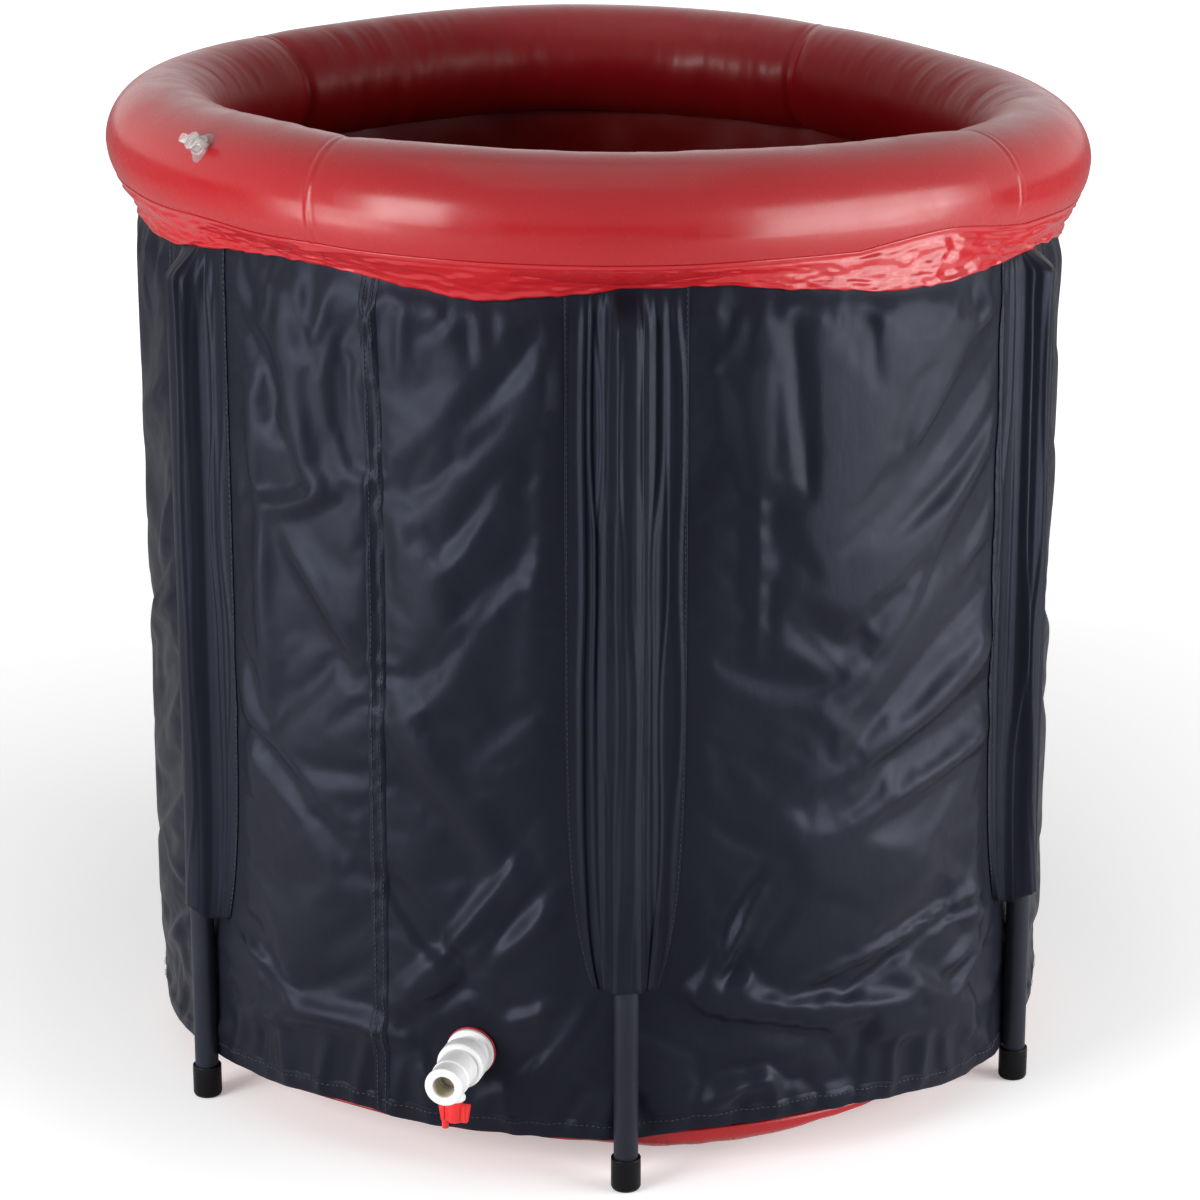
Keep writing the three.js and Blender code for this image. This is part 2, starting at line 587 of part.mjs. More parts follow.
function airValveDisc() {
  return tube(AIR_DISC_RADIUS, AIR_STEM_RADIUS + FIT_GAP, discTop - AIR_DISC_THICKNESS, discTop);
}

function airValveStem() {
  return tube(AIR_STEM_RADIUS, AIR_STEM_BORE_RADIUS, stemLow, AIR_STEM_HEIGHT);
}

function airValveFlap() {
  const top = stemLow - FIT_GAP;
  return cylinder(AIR_STEM_RADIUS, top - AIR_FLAP_THICKNESS, top, SMALL_SIDES);
}

// The plug with its cap and pull tab, and the strap that ties it to the stem.
function airStopper() {
  const plugRadius = AIR_STEM_BORE_RADIUS - FIT_GAP;
  const plugged = turned([
    [0, stopperSeat - STOPPER_PLUG_LENGTH], [plugRadius, stopperSeat - STOPPER_PLUG_LENGTH],
    [plugRadius, stopperSeat], [STOPPER_CAP_RADIUS, stopperSeat], [STOPPER_CAP_RADIUS, stopperTop], [0, stopperTop],
  ], FITTING_SIDES);
  const capMiddle = (stopperSeat + stopperTop) / 2;
  const tabReach = STOPPER_CAP_RADIUS + STOPPER_TAB_LENGTH;
  const tab = box(tabReach, STOPPER_TAB_WIDTH, STOPPER_CAP_THICKNESS, -tabReach / 2, 0, capMiddle);
  const loopBore = AIR_STEM_RADIUS + FIT_GAP;
  const loopLow = FIT_GAP + TETHER_THICKNESS;
  const loopHigh = loopLow + TETHER_THICKNESS;
  const loop = tube(loopBore + TETHER_THICKNESS, loopBore, loopLow, loopHigh);
  const far = loopBore + TETHER_REACH;
  const arm = box(far - loopBore, TETHER_WIDTH, TETHER_THICKNESS,
    (far + loopBore) / 2 + FIT_GAP, 0, (loopLow + loopHigh) / 2);
  const strap = box(TETHER_THICKNESS, TETHER_WIDTH, stopperTop - loopLow, far, 0, (stopperTop + loopLow) / 2);
  const roof = box(far, TETHER_WIDTH, STOPPER_CAP_THICKNESS, far / 2, 0, capMiddle);
  return combine(plugged, { add: [tab, loop, arm, strap, roof] });
}

// Materials

function finish(color, roughness, metalness = 0, opacity = 1) {
  return new THREE.MeshStandardMaterial({ color, roughness, metalness, opacity, transparent: opacity < 1 });
}

const redVinyl = finish(0xb3262c, 0.32);
const blackCloth = finish(0x1d1e26, 0.45);
const whiteFoam = finish(0xe8e6df, 0.9);
const greyPole = finish(0x2e3138, 0.5);
const blackRubber = finish(0x121316, 0.55);
const whitePlastic = finish(0xeeeeea, 0.4);
const redPlastic = finish(0xd81f1f, 0.4);
const sealRubber = finish(0x2a2a2c, 0.7);
const ptfe = finish(0xf4f4f0, 0.5);
const steel = finish(0xb4b6ba, 0.3, 1);
const clearVinyl = finish(0xdcdadb, 0.15, 0, 0.6);

// Assembly

function mesh(name, geometry, material) {
  const made = new THREE.Mesh(geometry, material);
  made.name = name;
  return made;
}

function placed(matrix, ...children) {
  const group = new THREE.Group().add(...children);
  matrix.decompose(group.position, group.quaternion, group.scale);
  return group;
}

const tub = new THREE.Group();
tub.add(
  mesh("inflatable_ring", inflatableRing(), redVinyl),
  mesh("ring_skirt", ringSkirt(), redVinyl),
  mesh("fabric_cover", fabricCover(), blackCloth),
  mesh("insulation_foam", insulationFoam(), whiteFoam),
  mesh("liner_wall", linerWall(), redVinyl),
  mesh("liner_floor", linerFloor(), redVinyl),
);

for (let i = 0; i < POLE_COUNT; i++) {
  const angle = radians(POLE_START) + (i / POLE_COUNT) * FULL_TURN;
  const station = new THREE.Group().add(
    mesh(`pole_${i + 1}`, pole(), greyPole),
    mesh(`foot_cap_${i + 1}`, footCap(), blackRubber),
    mesh(`top_cap_${i + 1}`, topCap(), blackRubber),
    mesh(`pole_pocket_${i + 1}`, polePocket(), blackCloth),
  );
  station.position.copy(around(angle, poleCircle, 0));
  station.rotation.z = angle + Math.PI;
  tub.add(station);
}

tub.add(
  placed(drainFrame(),
    mesh("drain_bulkhead", drainBulkhead(), whitePlastic),
    mesh("drain_inner_gasket", drainGasket(innerSeat - GASKET_THICKNESS), sealRubber),
    mesh("drain_outer_gasket", drainGasket(outerSeat), redVinyl),
    mesh("drain_flange_nut", flangeNut(), whitePlastic),
    mesh("tap_inlet", tapInlet(), whitePlastic),
    mesh("tap_inner_seat", seatRing(innerSeatRing), ptfe),
    mesh("tap_outer_seat", seatRing(outerSeatRing), ptfe),
  ),
  mesh("tap_body", tapBody(), whitePlastic),
  placed(stemFrame(),
    mesh("tap_ball", tapBall(), whitePlastic),
    mesh("tap_stem", tapStem(), whitePlastic),
    mesh("tap_stem_o_ring", stemORing(), sealRubber),
    mesh("tap_handle", tapHandle(), redPlastic),
    mesh("tap_handle_screw", handleScrew(), steel),
  ),
  placed(airValveFrame(),
    mesh("air_valve_disc", airValveDisc(), clearVinyl),
    mesh("air_valve_stem", airValveStem(), clearVinyl),
    mesh("air_valve_flap", airValveFlap(), clearVinyl),
    mesh("air_valve_stopper", airStopper(), clearVinyl),
  ),
);

export default tub;
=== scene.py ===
"""Looks of a cold plunge tub: an inflated ring, a vinyl liner, a cloth cover on six poles, a drain tap."""
import math

import bmesh
import bpy
import numpy as np
from mathutils import Matrix, Vector


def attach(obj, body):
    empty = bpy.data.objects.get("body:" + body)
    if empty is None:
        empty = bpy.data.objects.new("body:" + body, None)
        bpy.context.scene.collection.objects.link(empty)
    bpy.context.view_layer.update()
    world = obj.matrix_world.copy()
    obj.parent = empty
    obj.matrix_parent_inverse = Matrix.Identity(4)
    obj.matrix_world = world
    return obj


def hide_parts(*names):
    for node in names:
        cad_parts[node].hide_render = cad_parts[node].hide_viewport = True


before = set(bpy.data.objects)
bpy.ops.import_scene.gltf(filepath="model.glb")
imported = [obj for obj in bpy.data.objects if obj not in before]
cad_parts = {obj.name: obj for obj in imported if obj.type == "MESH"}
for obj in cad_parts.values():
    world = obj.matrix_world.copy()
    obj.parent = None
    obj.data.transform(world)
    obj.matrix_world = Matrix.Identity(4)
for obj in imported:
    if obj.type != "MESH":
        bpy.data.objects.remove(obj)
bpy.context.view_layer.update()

TURN = 2 * math.pi
MM = 0.001

# Sizes in metres. Angles run from -Y, where the tap is, towards +X.
RING_MIDDLE = 0.328
RING_LEVEL = 0.711
RING_TUBE = 0.045
RING_SEAMS = np.radians(np.array([-16.5, 73.5, 163.5, 253.5]))
SKIRT_RADIUS = 0.3503
SKIRT_WELD = math.radians(-37)
SKIRT_GAP = 0.0007
SKIRT_CLEAR = 0.0016
WALL_RADIUS = 0.3497
COVER_TOP = 0.690
COVER_DIP = 0.0012
COVER_LIFT = 0.0004
COVER_SWELL = 0.0106
LINER_RADIUS = 0.3446
LINER_LOW, LINER_HIGH = 0.0365, 0.688
FOAM_RADIUS = 0.3468
FOAM_LOW, FOAM_HIGH = 0.046, 0.686
POLE_COUNT = 6
POLE_START = math.radians(18.5)
POLE_CIRCLE = 0.361
POLE_RADIUS = 0.009
POLE_BORE = 0.0071
POLE_BOTTOM = 0.0043
POLE_TOP = 0.6378
POCKET_BOTTOM = 0.152
POCKET_TOP = 0.6415
POCKET_HALF = 0.042
DRAIN_HEIGHT = 0.099
MID_SEAM = math.radians(-11.5)
CAMERA_SIDE = math.radians(15.5)
OUTLINE_ANGLES = CAMERA_SIDE + np.radians(np.array([-90, 90]))
CAMERA_AWAY = 2.9444
CAMERA_HEIGHT = 1.2616
CAMERA_DIP = 0.3041
CAMERA_LENS = 116.48


def stacked(*parts):
    """Points from their coordinates, each given as a number, a row, a column or a whole grid."""
    return np.stack(np.broadcast_arrays(*parts), axis=-1)


def at(angle, radius, height):
    """Points in the shared frame."""
    return stacked(radius * np.sin(angle), -radius * np.cos(angle), height)


def all_round(count):
    """Even angles of a full turn, as a row."""
    return np.arange(count)[None, :] / count * TURN


def upward(count, low=0, high=1):
    """Even steps from low to high, as a column."""
    return np.linspace(low, high, count)[:, None]


def ease(low, high, value):
    """0 below low, 1 above high and smooth between."""
    share = np.clip((value - low) / (high - low), 0, 1)
    return share * share * (3 - 2 * share)


def bell(value, width):
    """1 at zero, falling away smoothly on both sides."""
    return np.exp(-(value / width) ** 2)


def turn_between(angle, other):
    """Shortest turn from other to angle."""
    return (angle - other + math.pi) % TURN - math.pi


def read_grid(grid, x, y, soft=False):
    """Values between the points of a grid that closes on itself along x."""
    x, y = np.broadcast_arrays(x, y)
    column, row = np.floor(x).astype(int), np.floor(y).astype(int)
    across, up = x - column, y - row
    if soft:
        across, up = (share ** 3 * (share * (share * 6 - 15) + 10) for share in (across, up))
    left, right = column % grid.shape[1], (column + 1) % grid.shape[1]
    low = grid[row, left] * (1 - across) + grid[row, right] * across
    high = grid[row + 1, left] * (1 - across) + grid[row + 1, right] * across
    return low * (1 - up) + high * up


def noise(u, v, cells_u, cells_v, seed):
    """Smooth noise from -1 to 1 over u and v of 0 to 1. It closes on itself along u."""
    heights = np.random.default_rng(seed).uniform(-1, 1, (cells_v + 2, cells_u))
    return read_grid(heights, u * cells_u, np.clip(v, 0, 1) * cells_v, soft=True)


def run_along(points):
    """Length of a line of points from its start to each of them."""
    return np.concatenate([[0], np.cumsum(np.linalg.norm(np.diff(points, axis=0), axis=1))])


def smoothed(values, reach):
    """Values averaged with their neighbours."""
    kernel = np.hanning(reach) / np.hanning(reach).sum()
    return np.convolve(np.pad(values, reach // 2, mode="edge"), kernel, mode="valid")


def paint(piece, material):
    piece.data.materials.clear()
    piece.data.materials.append(material)


def finish_piece(piece, material, body, replaces=()):
    """Gives a piece its material, the body it rides on and the nodes that it stands for."""
    paint(piece, material)
    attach(piece, body)
    if replaces:
        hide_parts(*replaces)
    return piece


def smooth(piece):
    piece.data.polygons.foreach_set("use_smooth", [True] * len(piece.data.polygons))
    return piece


def mesh_object(name, points, faces):
    mesh = bpy.data.meshes.new(name)
    mesh.from_pydata(points, [], faces)
    piece = bpy.data.objects.new(name, mesh)
    bpy.context.scene.collection.objects.link(piece)
    return smooth(piece)


def fill(piece, shape):
    """Puts a worked shape into a piece."""
    shape.to_mesh(piece.data)
    shape.free()
    return smooth(piece)


def grid_object(name, points, wrap_rows=False, wrap_columns=False, uv=None):
    """A mesh over a grid of points. It faces out where columns run round from -Y to +X and rows run up."""
    rows, columns = points.shape[:2]
    index = np.arange(rows * columns).reshape(rows, columns)
    if wrap_rows:
        index = np.concatenate([index, index[:1]], axis=0)
    if wrap_columns:
        index = np.concatenate([index, index[:, :1]], axis=1)
    corners = (index[:-1, :-1], index[:-1, 1:], index[1:, 1:], index[1:, :-1])
    quads = np.stack(corners, axis=-1).reshape(-1, 4)
    piece = mesh_object(name, points.reshape(-1, 3).tolist(), quads.tolist())
    if uv is not None:
        spots = (uv[:-1, :-1], uv[:-1, 1:], uv[1:, 1:], uv[1:, :-1])
        layer = piece.data.uv_layers.new(name="UVMap")
        layer.data.foreach_set("uv", np.stack(spots, axis=2).ravel())
    return piece


def thicken(piece, thickness, offset=-1):
    solid = piece.modifiers.new("thickness", "SOLIDIFY")
    solid.thickness = thickness
    solid.offset = offset
    return piece


def subdivide(piece, levels=1):
    rounder = piece.modifiers.new("rounder", "SUBSURF")
    rounder.levels = levels
    rounder.render_levels = levels
    return piece


def rounded(corners, radius, steps=4):
    """A profile with its inner corners rounded."""
    out = [tuple(corners[0])]
    for before, here, after in zip(corners, corners[1:], corners[2:]):
        here = Vector(here)
        back, on = Vector(before) - here, Vector(after) - here
        cut = min(radius, back.length * 0.45, on.length * 0.45)
        start, end = here + back.normalized() * cut, here + on.normalized() * cut
        for step in range(steps + 1):
            share = step / steps
            spot = start * (1 - share) ** 2 + here * 2 * share * (1 - share) + end * share ** 2
            out.append(tuple(spot))
    out.append(tuple(corners[-1]))
    return out


def lathe(name, profile, place, sides=48):
    """A turned solid: profile is (radius, along) from one end of the axis to the other."""
    angle = np.arange(sides) / sides * TURN
    radius, along = np.array(profile).T[:, :, None]
    points = stacked(radius * np.cos(angle), radius * np.sin(angle), along)
    piece = grid_object(name, points, wrap_columns=True)
    shape = bmesh.new()
    shape.from_mesh(piece.data)
    bmesh.ops.remove_doubles(shape, verts=shape.verts, dist=1e-7)
    bmesh.ops.dissolve_degenerate(shape, edges=shape.edges, dist=1e-7)
    fill(piece, shape)
    piece.data.transform(place)
    return piece


def turned(name, corners, radius, place, sides=48):
    """A turned solid from corners and a corner radius in millimetres."""
    profile = [(out * MM, along * MM) for out, along in corners]
    return lathe(name, rounded(profile, radius * MM), place, sides)


def axes(origin, x, z):
    """A place with its own x and z directions."""
    x, z = Vector(x).normalized(), Vector(z).normalized()
    y = z.cross(x)
    return Matrix(((x.x, y.x, z.x, origin[0]),
                   (x.y, y.y, z.y, origin[1]),
                   (x.z, y.z, z.z, origin[2]),
                   (0, 0, 0, 1)))


def prism(name, outline, low, high, place, bevel):
    """A flat moulding in millimetres: an outline in x and y, drawn from low to high, with soft edges."""
    outline = [(x * MM, y * MM) for x, y in outline]
    shape = bmesh.new()
    lower = [shape.verts.new((x, y, low * MM)) for x, y in outline]
    upper = [shape.verts.new((x, y, high * MM)) for x, y in outline]
    shape.faces.new(lower[::-1])
    shape.faces.new(upper)
    for index in range(len(outline)):
        after = (index + 1) % len(outline)
        shape.faces.new((lower[index], lower[after], upper[after], upper[index]))
    edges = list(shape.edges)
    bmesh.ops.bevel(shape, geom=edges, offset=bevel * MM, segments=3, profile=0.5, affect="EDGES")
    piece = fill(mesh_object(name, [], []), shape)
    piece.data.transform(place)
    return piece


def ribbon(name, path, width, thickness, place):
    """A flat strap in millimetres along a path in x and z."""
    line = np.array(path) * MM
    steps = run_along(line)
    fine = np.linspace(0, steps[-1], 40)
    x, z = (smoothed(np.interp(fine, steps, part), 9) for part in line.T)
    along = np.stack([np.gradient(x), np.gradient(z)])
    along = along / np.hypot(*along)
    section = ((-0.5, 0.3), (-0.4, 0.5), (0.4, 0.5), (0.5, 0.3),
               (0.5, -0.3), (0.4, -0.5), (-0.4, -0.5), (-0.5, -0.3))
    rows = []
    for across, through in section:
        off = through * thickness * MM
        rows.append(stacked(x - along[1] * off, across * width * MM, z + along[0] * off))
    piece = grid_object(name, np.stack(rows, axis=1), wrap_columns=True)
    piece.data.transform(place)
    return piece


def join(name, *pieces):
    """One object from the meshes of several."""
    shape = bmesh.new()
    for piece in pieces:
        shape.from_mesh(piece.data)
        bpy.data.objects.remove(piece)
    bmesh.ops.recalc_face_normals(shape, faces=shape.faces)
    return fill(mesh_object(name, [], []), shape)


# Materials

def feed(tree, node, *values, **named):
    """Sets up a node: settings are named in lower case, and inputs take a value or a link."""
    inputs = list(enumerate(values))
    for name, value in named.items():
        if name[0].islower():
            setattr(node, name, value)
        else:
            inputs.append((name.replace("_", " "), value))
    for spot, value in inputs:
        if isinstance(value, bpy.types.NodeSocket):
            tree.links.new(value, node.inputs[spot])
        else:
            node.inputs[spot].default_value = value
    return node


def add_node(tree, kind, *values, **named):
    return feed(tree, tree.nodes.new("ShaderNode" + kind), *values, **named)


class Finish:
    """A node material that is built up step by step."""

    def __init__(self, name, colour, roughness, specular):
        self.material = bpy.data.materials.new(name)
        self.material.use_nodes = True
        self.material.diffuse_color = (*colour, 1)
        self.tree = self.material.node_tree
        self.shader = self.tree.nodes["Principled BSDF"]
        self.set(Base_Color=(*colour, 1), Roughness=roughness, Specular_IOR_Level=specular)
        self.place = add_node(self.tree, "TexCoord")
        self.bumped = None

    def set(self, **named):
        feed(self.tree, self.shader, **named)
        return self

    def noise(self, scale, detail=4, stretch=None, source="Object"):
        spot = self.place.outputs[source]
        if stretch is not None:
            spot = add_node(self.tree, "Mapping", Scale=stretch, Vector=spot).outputs["Vector"]
        texture = add_node(self.tree, "TexNoise", Scale=scale, Detail=detail, Roughness=0.55, Vector=spot)
        return texture.outputs["Fac"]

    def wave(self, scale, direction):
        spot = self.place.outputs["UV"]
        texture = add_node(self.tree, "TexWave", bands_direction=direction, Scale=scale, Vector=spot)
        return texture.outputs["Fac"]

    def range(self, source, low, high, start=0.3, end=0.7):
        """A value from start to end, brought to low to high."""
        brought = add_node(self.tree, "MapRange", Value=source, From_Min=start, From_Max=end,
                           To_Min=low, To_Max=high)
        return brought.outputs["Result"]

    def tones(self, source, dark, light):
        """Colour that varies between two tones."""
        mix = add_node(self.tree, "Mix", data_type="RGBA", A=(*dark, 1), B=(*light, 1),
                       Factor=self.range(source, 0, 1))
        return self.set(Base_Color=mix.outputs["Result"])

    def rough(self, source, low, high):
        return self.set(Roughness=self.range(source, low, high))

    def bump(self, source, strength, distance):
        bump = add_node(self.tree, "Bump", Strength=strength, Distance=distance, Height=source)
        if self.bumped is not None:
            feed(self.tree, bump, Normal=self.bumped)
        self.bumped = bump.outputs["Normal"]
        return self.set(Normal=self.bumped)


def vinyl(name, dark, light, roughness, crinkle, depth, detail=5):
    finish = Finish(name, light, roughness, 0.32)
    finish.tones(finish.noise(5, 3), dark, light)
    finish.rough(finish.noise(38), roughness - 0.05, roughness + 0.07)
    finish.bump(finish.noise(900, 2), 0.05, 0.0004)
    finish.bump(finish.noise(crinkle, detail), depth, 0.0012)
    return finish.set(Coat_Weight=0.12, Coat_Roughness=0.18)


def paint_inner_shade(finish, inner, outer, share):
    """Painted shade: the colour darkens towards the middle of the tub, on the puckered inner side of the
    ring, and the vinyl is made duller there.
    """
    tree, shader = finish.tree, finish.shader
    spot = finish.place.outputs["Object"]
    flat = add_node(tree, "VectorMath", spot, (1, 1, 0), operation="MULTIPLY")
    away = add_node(tree, "VectorMath", flat.outputs["Vector"], operation="LENGTH")
    inside = finish.range(away.outputs["Value"], 1, 0, inner, outer)
    colour = shader.inputs["Base Color"].links[0].from_socket
    roughness = shader.inputs["Roughness"].links[0].from_socket
    # Painted shade: the base colour is multiplied darker on the ring's inner side.
    painted_shade = add_node(tree, "Mix", data_type="RGBA", blend_type="MULTIPLY", Factor=inside, A=colour,
                      B=(share, share * 0.6, share * 0.6, 1))
    duller = add_node(tree, "Math", inside, 0.16, roughness, operation="MULTIPLY_ADD")
    return finish.set(Base_Color=painted_shade.outputs["Result"], Roughness=duller.outputs[0],
                      Coat_Weight=finish.range(inside, 0.12, 0.0, 0, 1),
                      Specular_IOR_Level=finish.range(inside, 0.32, 0.16, 0, 1))


def cloth(name, dark, light):
    finish = Finish(name, light, 0.38, 0.13)
    finish.tones(finish.noise(7), dark, light)
    finish.rough(finish.noise(45), 0.32, 0.43)
    for direction in "XY":
        finish.bump(finish.wave(900, direction), 0.04, 0.0003)
    finish.bump(finish.noise(46, 5, stretch=(1, 0.45, 1), source="UV"), 0.30, 0.0022)
    return finish.set(Specular_Tint=(0.68, 0.73, 1.0, 1)).material


def plastic(name, dark, light, roughness, grain, specular=0.5, **named):
    finish = Finish(name, light, roughness, specular)
    finish.tones(finish.noise(24, 3), dark, light)
    finish.rough(finish.noise(110, 3), roughness - 0.05, roughness + 0.09)
    finish.bump(finish.noise(grain, 3), 0.12, 0.0005)
    return finish.set(**named).material


RING_VINYL = vinyl("red_vinyl_ring_painted_shade", (0.33, 0.008, 0.011), (0.36, 0.010, 0.014), 0.26, 15, 0.10, 1)
# The ring's red vinyl, with painted shade on its inner side.
RED_RING_PAINTED_SHADE = paint_inner_shade(RING_VINYL, 0.285, 0.335, 0.5).material
RED_SKIRT = vinyl("red_vinyl_skirt", (0.38, 0.010, 0.014), (0.45, 0.015, 0.020), 0.13, 80, 0.45).material
# Painted shade: the liner's wall is the same red vinyl as its floor, coloured darker for the shade inside
# the tub.
RED_LINER_PAINTED_SHADE = vinyl("red_vinyl_liner_painted_shade", (0.16, 0.003, 0.003), (0.20, 0.005, 0.005), 0.34, 60, 0.22).material
RED_FLOOR = vinyl("red_vinyl_floor", (0.32, 0.008, 0.010), (0.38, 0.012, 0.015), 0.28, 60, 0.22).material
BLACK_CLOTH = cloth("black_coated_cloth", (0.0066, 0.0072, 0.0120), (0.0098, 0.0106, 0.0170))
THREAD = plastic("black_thread", (0.006, 0.006, 0.009), (0.012, 0.012, 0.017), 0.6, 900)
FOAM = plastic("insulating_foam", (0.42, 0.42, 0.40), (0.55, 0.55, 0.52), 0.85, 500)
GREY_POLE = plastic("grey_pole", (0.011, 0.012, 0.020), (0.015, 0.017, 0.027), 0.36, 300, 0.20)
BLACK_RUBBER = plastic("black_rubber", (0.003, 0.003, 0.004), (0.006, 0.006, 0.007), 0.24, 380, 0.13)
WHITE_PLASTIC = plastic("white_plastic", (0.70, 0.70, 0.70), (0.80, 0.80, 0.80), 0.32, 200)
RED_PLASTIC = plastic("red_plastic", (0.60, 0.012, 0.012), (0.74, 0.018, 0.018), 0.34, 320)
STEEL = plastic("screw_steel", (0.45, 0.45, 0.46), (0.60, 0.60, 0.61), 0.35, 420, Metallic=1.0)
CREAM_PLASTIC = plastic("cream_plastic", (0.50, 0.45, 0.33), (0.60, 0.55, 0.42), 0.4, 220)
CLEAR = plastic("clear_vinyl", (0.86, 0.84, 0.84), (0.94, 0.92, 0.92), 0.10, 240,
                Transmission_Weight=0.86, IOR=1.48)


# Inflated ring

def ring_middle(angle):
    oval = 0.011 * np.cos(2 * (angle + math.radians(12)))
    square = 0.009 * np.cos(4 * (angle - math.radians(10.5)))
    return RING_MIDDLE + oval + square


def ring_level(angle):
    sag = 0.0095 * np.cos(angle + math.radians(63))
    warp = 0.0045 * np.cos(2 * (angle - math.radians(15.5)))
    return RING_LEVEL + sag + warp


def ring_tube(angle, around):
    """Radius of the tube, with welds pinched in and the inner side puckered."""
    radius = np.full(np.broadcast(angle, around).shape, RING_TUBE)
    inner = ease(-0.25, 0.95, -np.cos(around))
    upper = ease(-0.2, 0.8, np.sin(around))
    share = angle / TURN % 1
    turn = around / TURN % 1
    for seam in RING_SEAMS:
        away = turn_between(angle, seam)
        radius = radius - (0.0007 + 0.0018 * inner) * bell(away, math.radians(4))
        radius = radius - 0.0050 * inner * bell(away, math.radians(1.1))
        radius = radius - 0.0003 * bell(np.abs(away) - math.radians(0.6), math.radians(0.3))
        radius = radius + 0.0005 * bell(away, math.radians(0.24))
    strength = 0.35 + 0.65 * ease(-0.3, 0.5, noise(share, 0.5, 17, 1, 11))
    pucker = noise(share, turn, 118, 5, 12) + 0.6 * noise(share, turn, 211, 7, 13)
    radius = radius + 0.0011 * inner * strength * pucker
    fine = noise(share, turn, 330, 9, 14)
    radius = radius + 0.0004 * inner * upper * fine
    return radius + 0.0009 * noise(share, turn, 23, 4, 15)


RING_COLUMNS, RING_ROWS = 1440, 80
ring_angle = all_round(RING_COLUMNS)
tube_turn = all_round(RING_ROWS).T
tube = ring_tube(ring_angle, tube_turn)
ring_points = at(ring_angle, ring_middle(ring_angle) + tube * np.cos(tube_turn),
                 ring_level(ring_angle) + tube * np.sin(tube_turn))
ring = grid_object("ring", ring_points, wrap_rows=True, wrap_columns=True)
finish_piece(ring, RED_RING_PAINTED_SHADE, "tub", ["inflatable_ring"])


# Skirt welded under the ring

def skirt_edge(angle):
    wave = 0.005 * np.cos(7 * (angle - math.radians(2)))
    dip = 0.004 * bell(turn_between(angle, math.radians(2)), math.radians(9))
    return ring_level(angle) - RING_TUBE - 0.004 - wave - dip


SKIRT_COLUMNS, SKIRT_LAP_ROWS, SKIRT_DROP_ROWS = 1080, 4, 22
skirt_angle = all_round(SKIRT_COLUMNS)
skirt_share = skirt_angle / TURN
clear_share = (SKIRT_RADIUS + SKIRT_CLEAR - ring_middle(skirt_angle)) / RING_TUBE
clear_turn = -np.arccos(np.clip(clear_share, -1, 1))
weld_turn = np.maximum(SKIRT_WELD, clear_turn) + 0.05 * noise(skirt_share, 0.5, 31, 1, 20)
lap_turn = weld_turn + upward(SKIRT_LAP_ROWS, 0.09, 0)
lap_tube = ring_tube(skirt_angle, lap_turn) + SKIRT_GAP
lap_points = at(skirt_angle, ring_middle(skirt_angle) + lap_tube * np.cos(lap_turn),
                ring_level(skirt_angle) + lap_tube * np.sin(lap_turn))
down = upward(SKIRT_DROP_ROWS + 1)[1:]
start_height = ring_level(skirt_angle) + (RING_TUBE + SKIRT_GAP) * np.sin(weld_turn)
start_radius = ring_middle(skirt_angle) + (RING_TUBE + SKIRT_GAP) * np.cos(weld_turn)
ragged = 0.0016 * noise(skirt_share, 0.5, 97, 1, 21) + 0.0008 * noise(skirt_share, 0.5, 260, 1, 22)
drop_height = start_height + (skirt_edge(skirt_angle) + ragged - start_height) * down
low_radius = SKIRT_RADIUS + 0.0022 + 0.0013 * noise(skirt_share, 0.5, 53, 1, 23)
broad_crinkle = 0.0009 * noise(skirt_share + 0.02 * down, down, 110, 5, 24)
fine_crinkle = 0.0008 * noise(skirt_share - 0.01 * down, down, 210, 9, 25)
crinkle = broad_crinkle + fine_crinkle
drop_radius = start_radius + (low_radius - start_radius) * down - 0.0016 * np.sin(math.pi * down)
drop_radius = drop_radius + (0.0013 + np.maximum(crinkle, -0.0015)) * ease(0, 0.15, down)
skirt_points = np.concatenate([lap_points, at(skirt_angle, drop_radius, drop_height)])[::-1]
skirt = grid_object("skirt", skirt_points, wrap_columns=True)
thicken(skirt, 0.0006)
finish_piece(skirt, RED_SKIRT, "tub", ["ring_skirt"])


# Cloth cover

POLE_ANGLES = POLE_START + np.arange(POLE_COUNT) / POLE_COUNT * TURN
# Height of the hem in millimetres at angles in degrees.
HEM_KNOTS = ((-62, 26), (-46, 30), (-24, 38), (-17, 42), (-9, 38), (5, 37), (16, 34), (28, 40), (41, 41),
             (56, 34), (68, 24), (90, 31), (120, 38), (150, 29), (180, 36), (210, 40), (240, 31), (270, 37))
FOLD_SCALE = 0.0014
# Folds whose middle lies below this height in millimetres are deeper.
LOW_FOLD_TOP, LOW_FOLD_GAIN = 260, 1.45
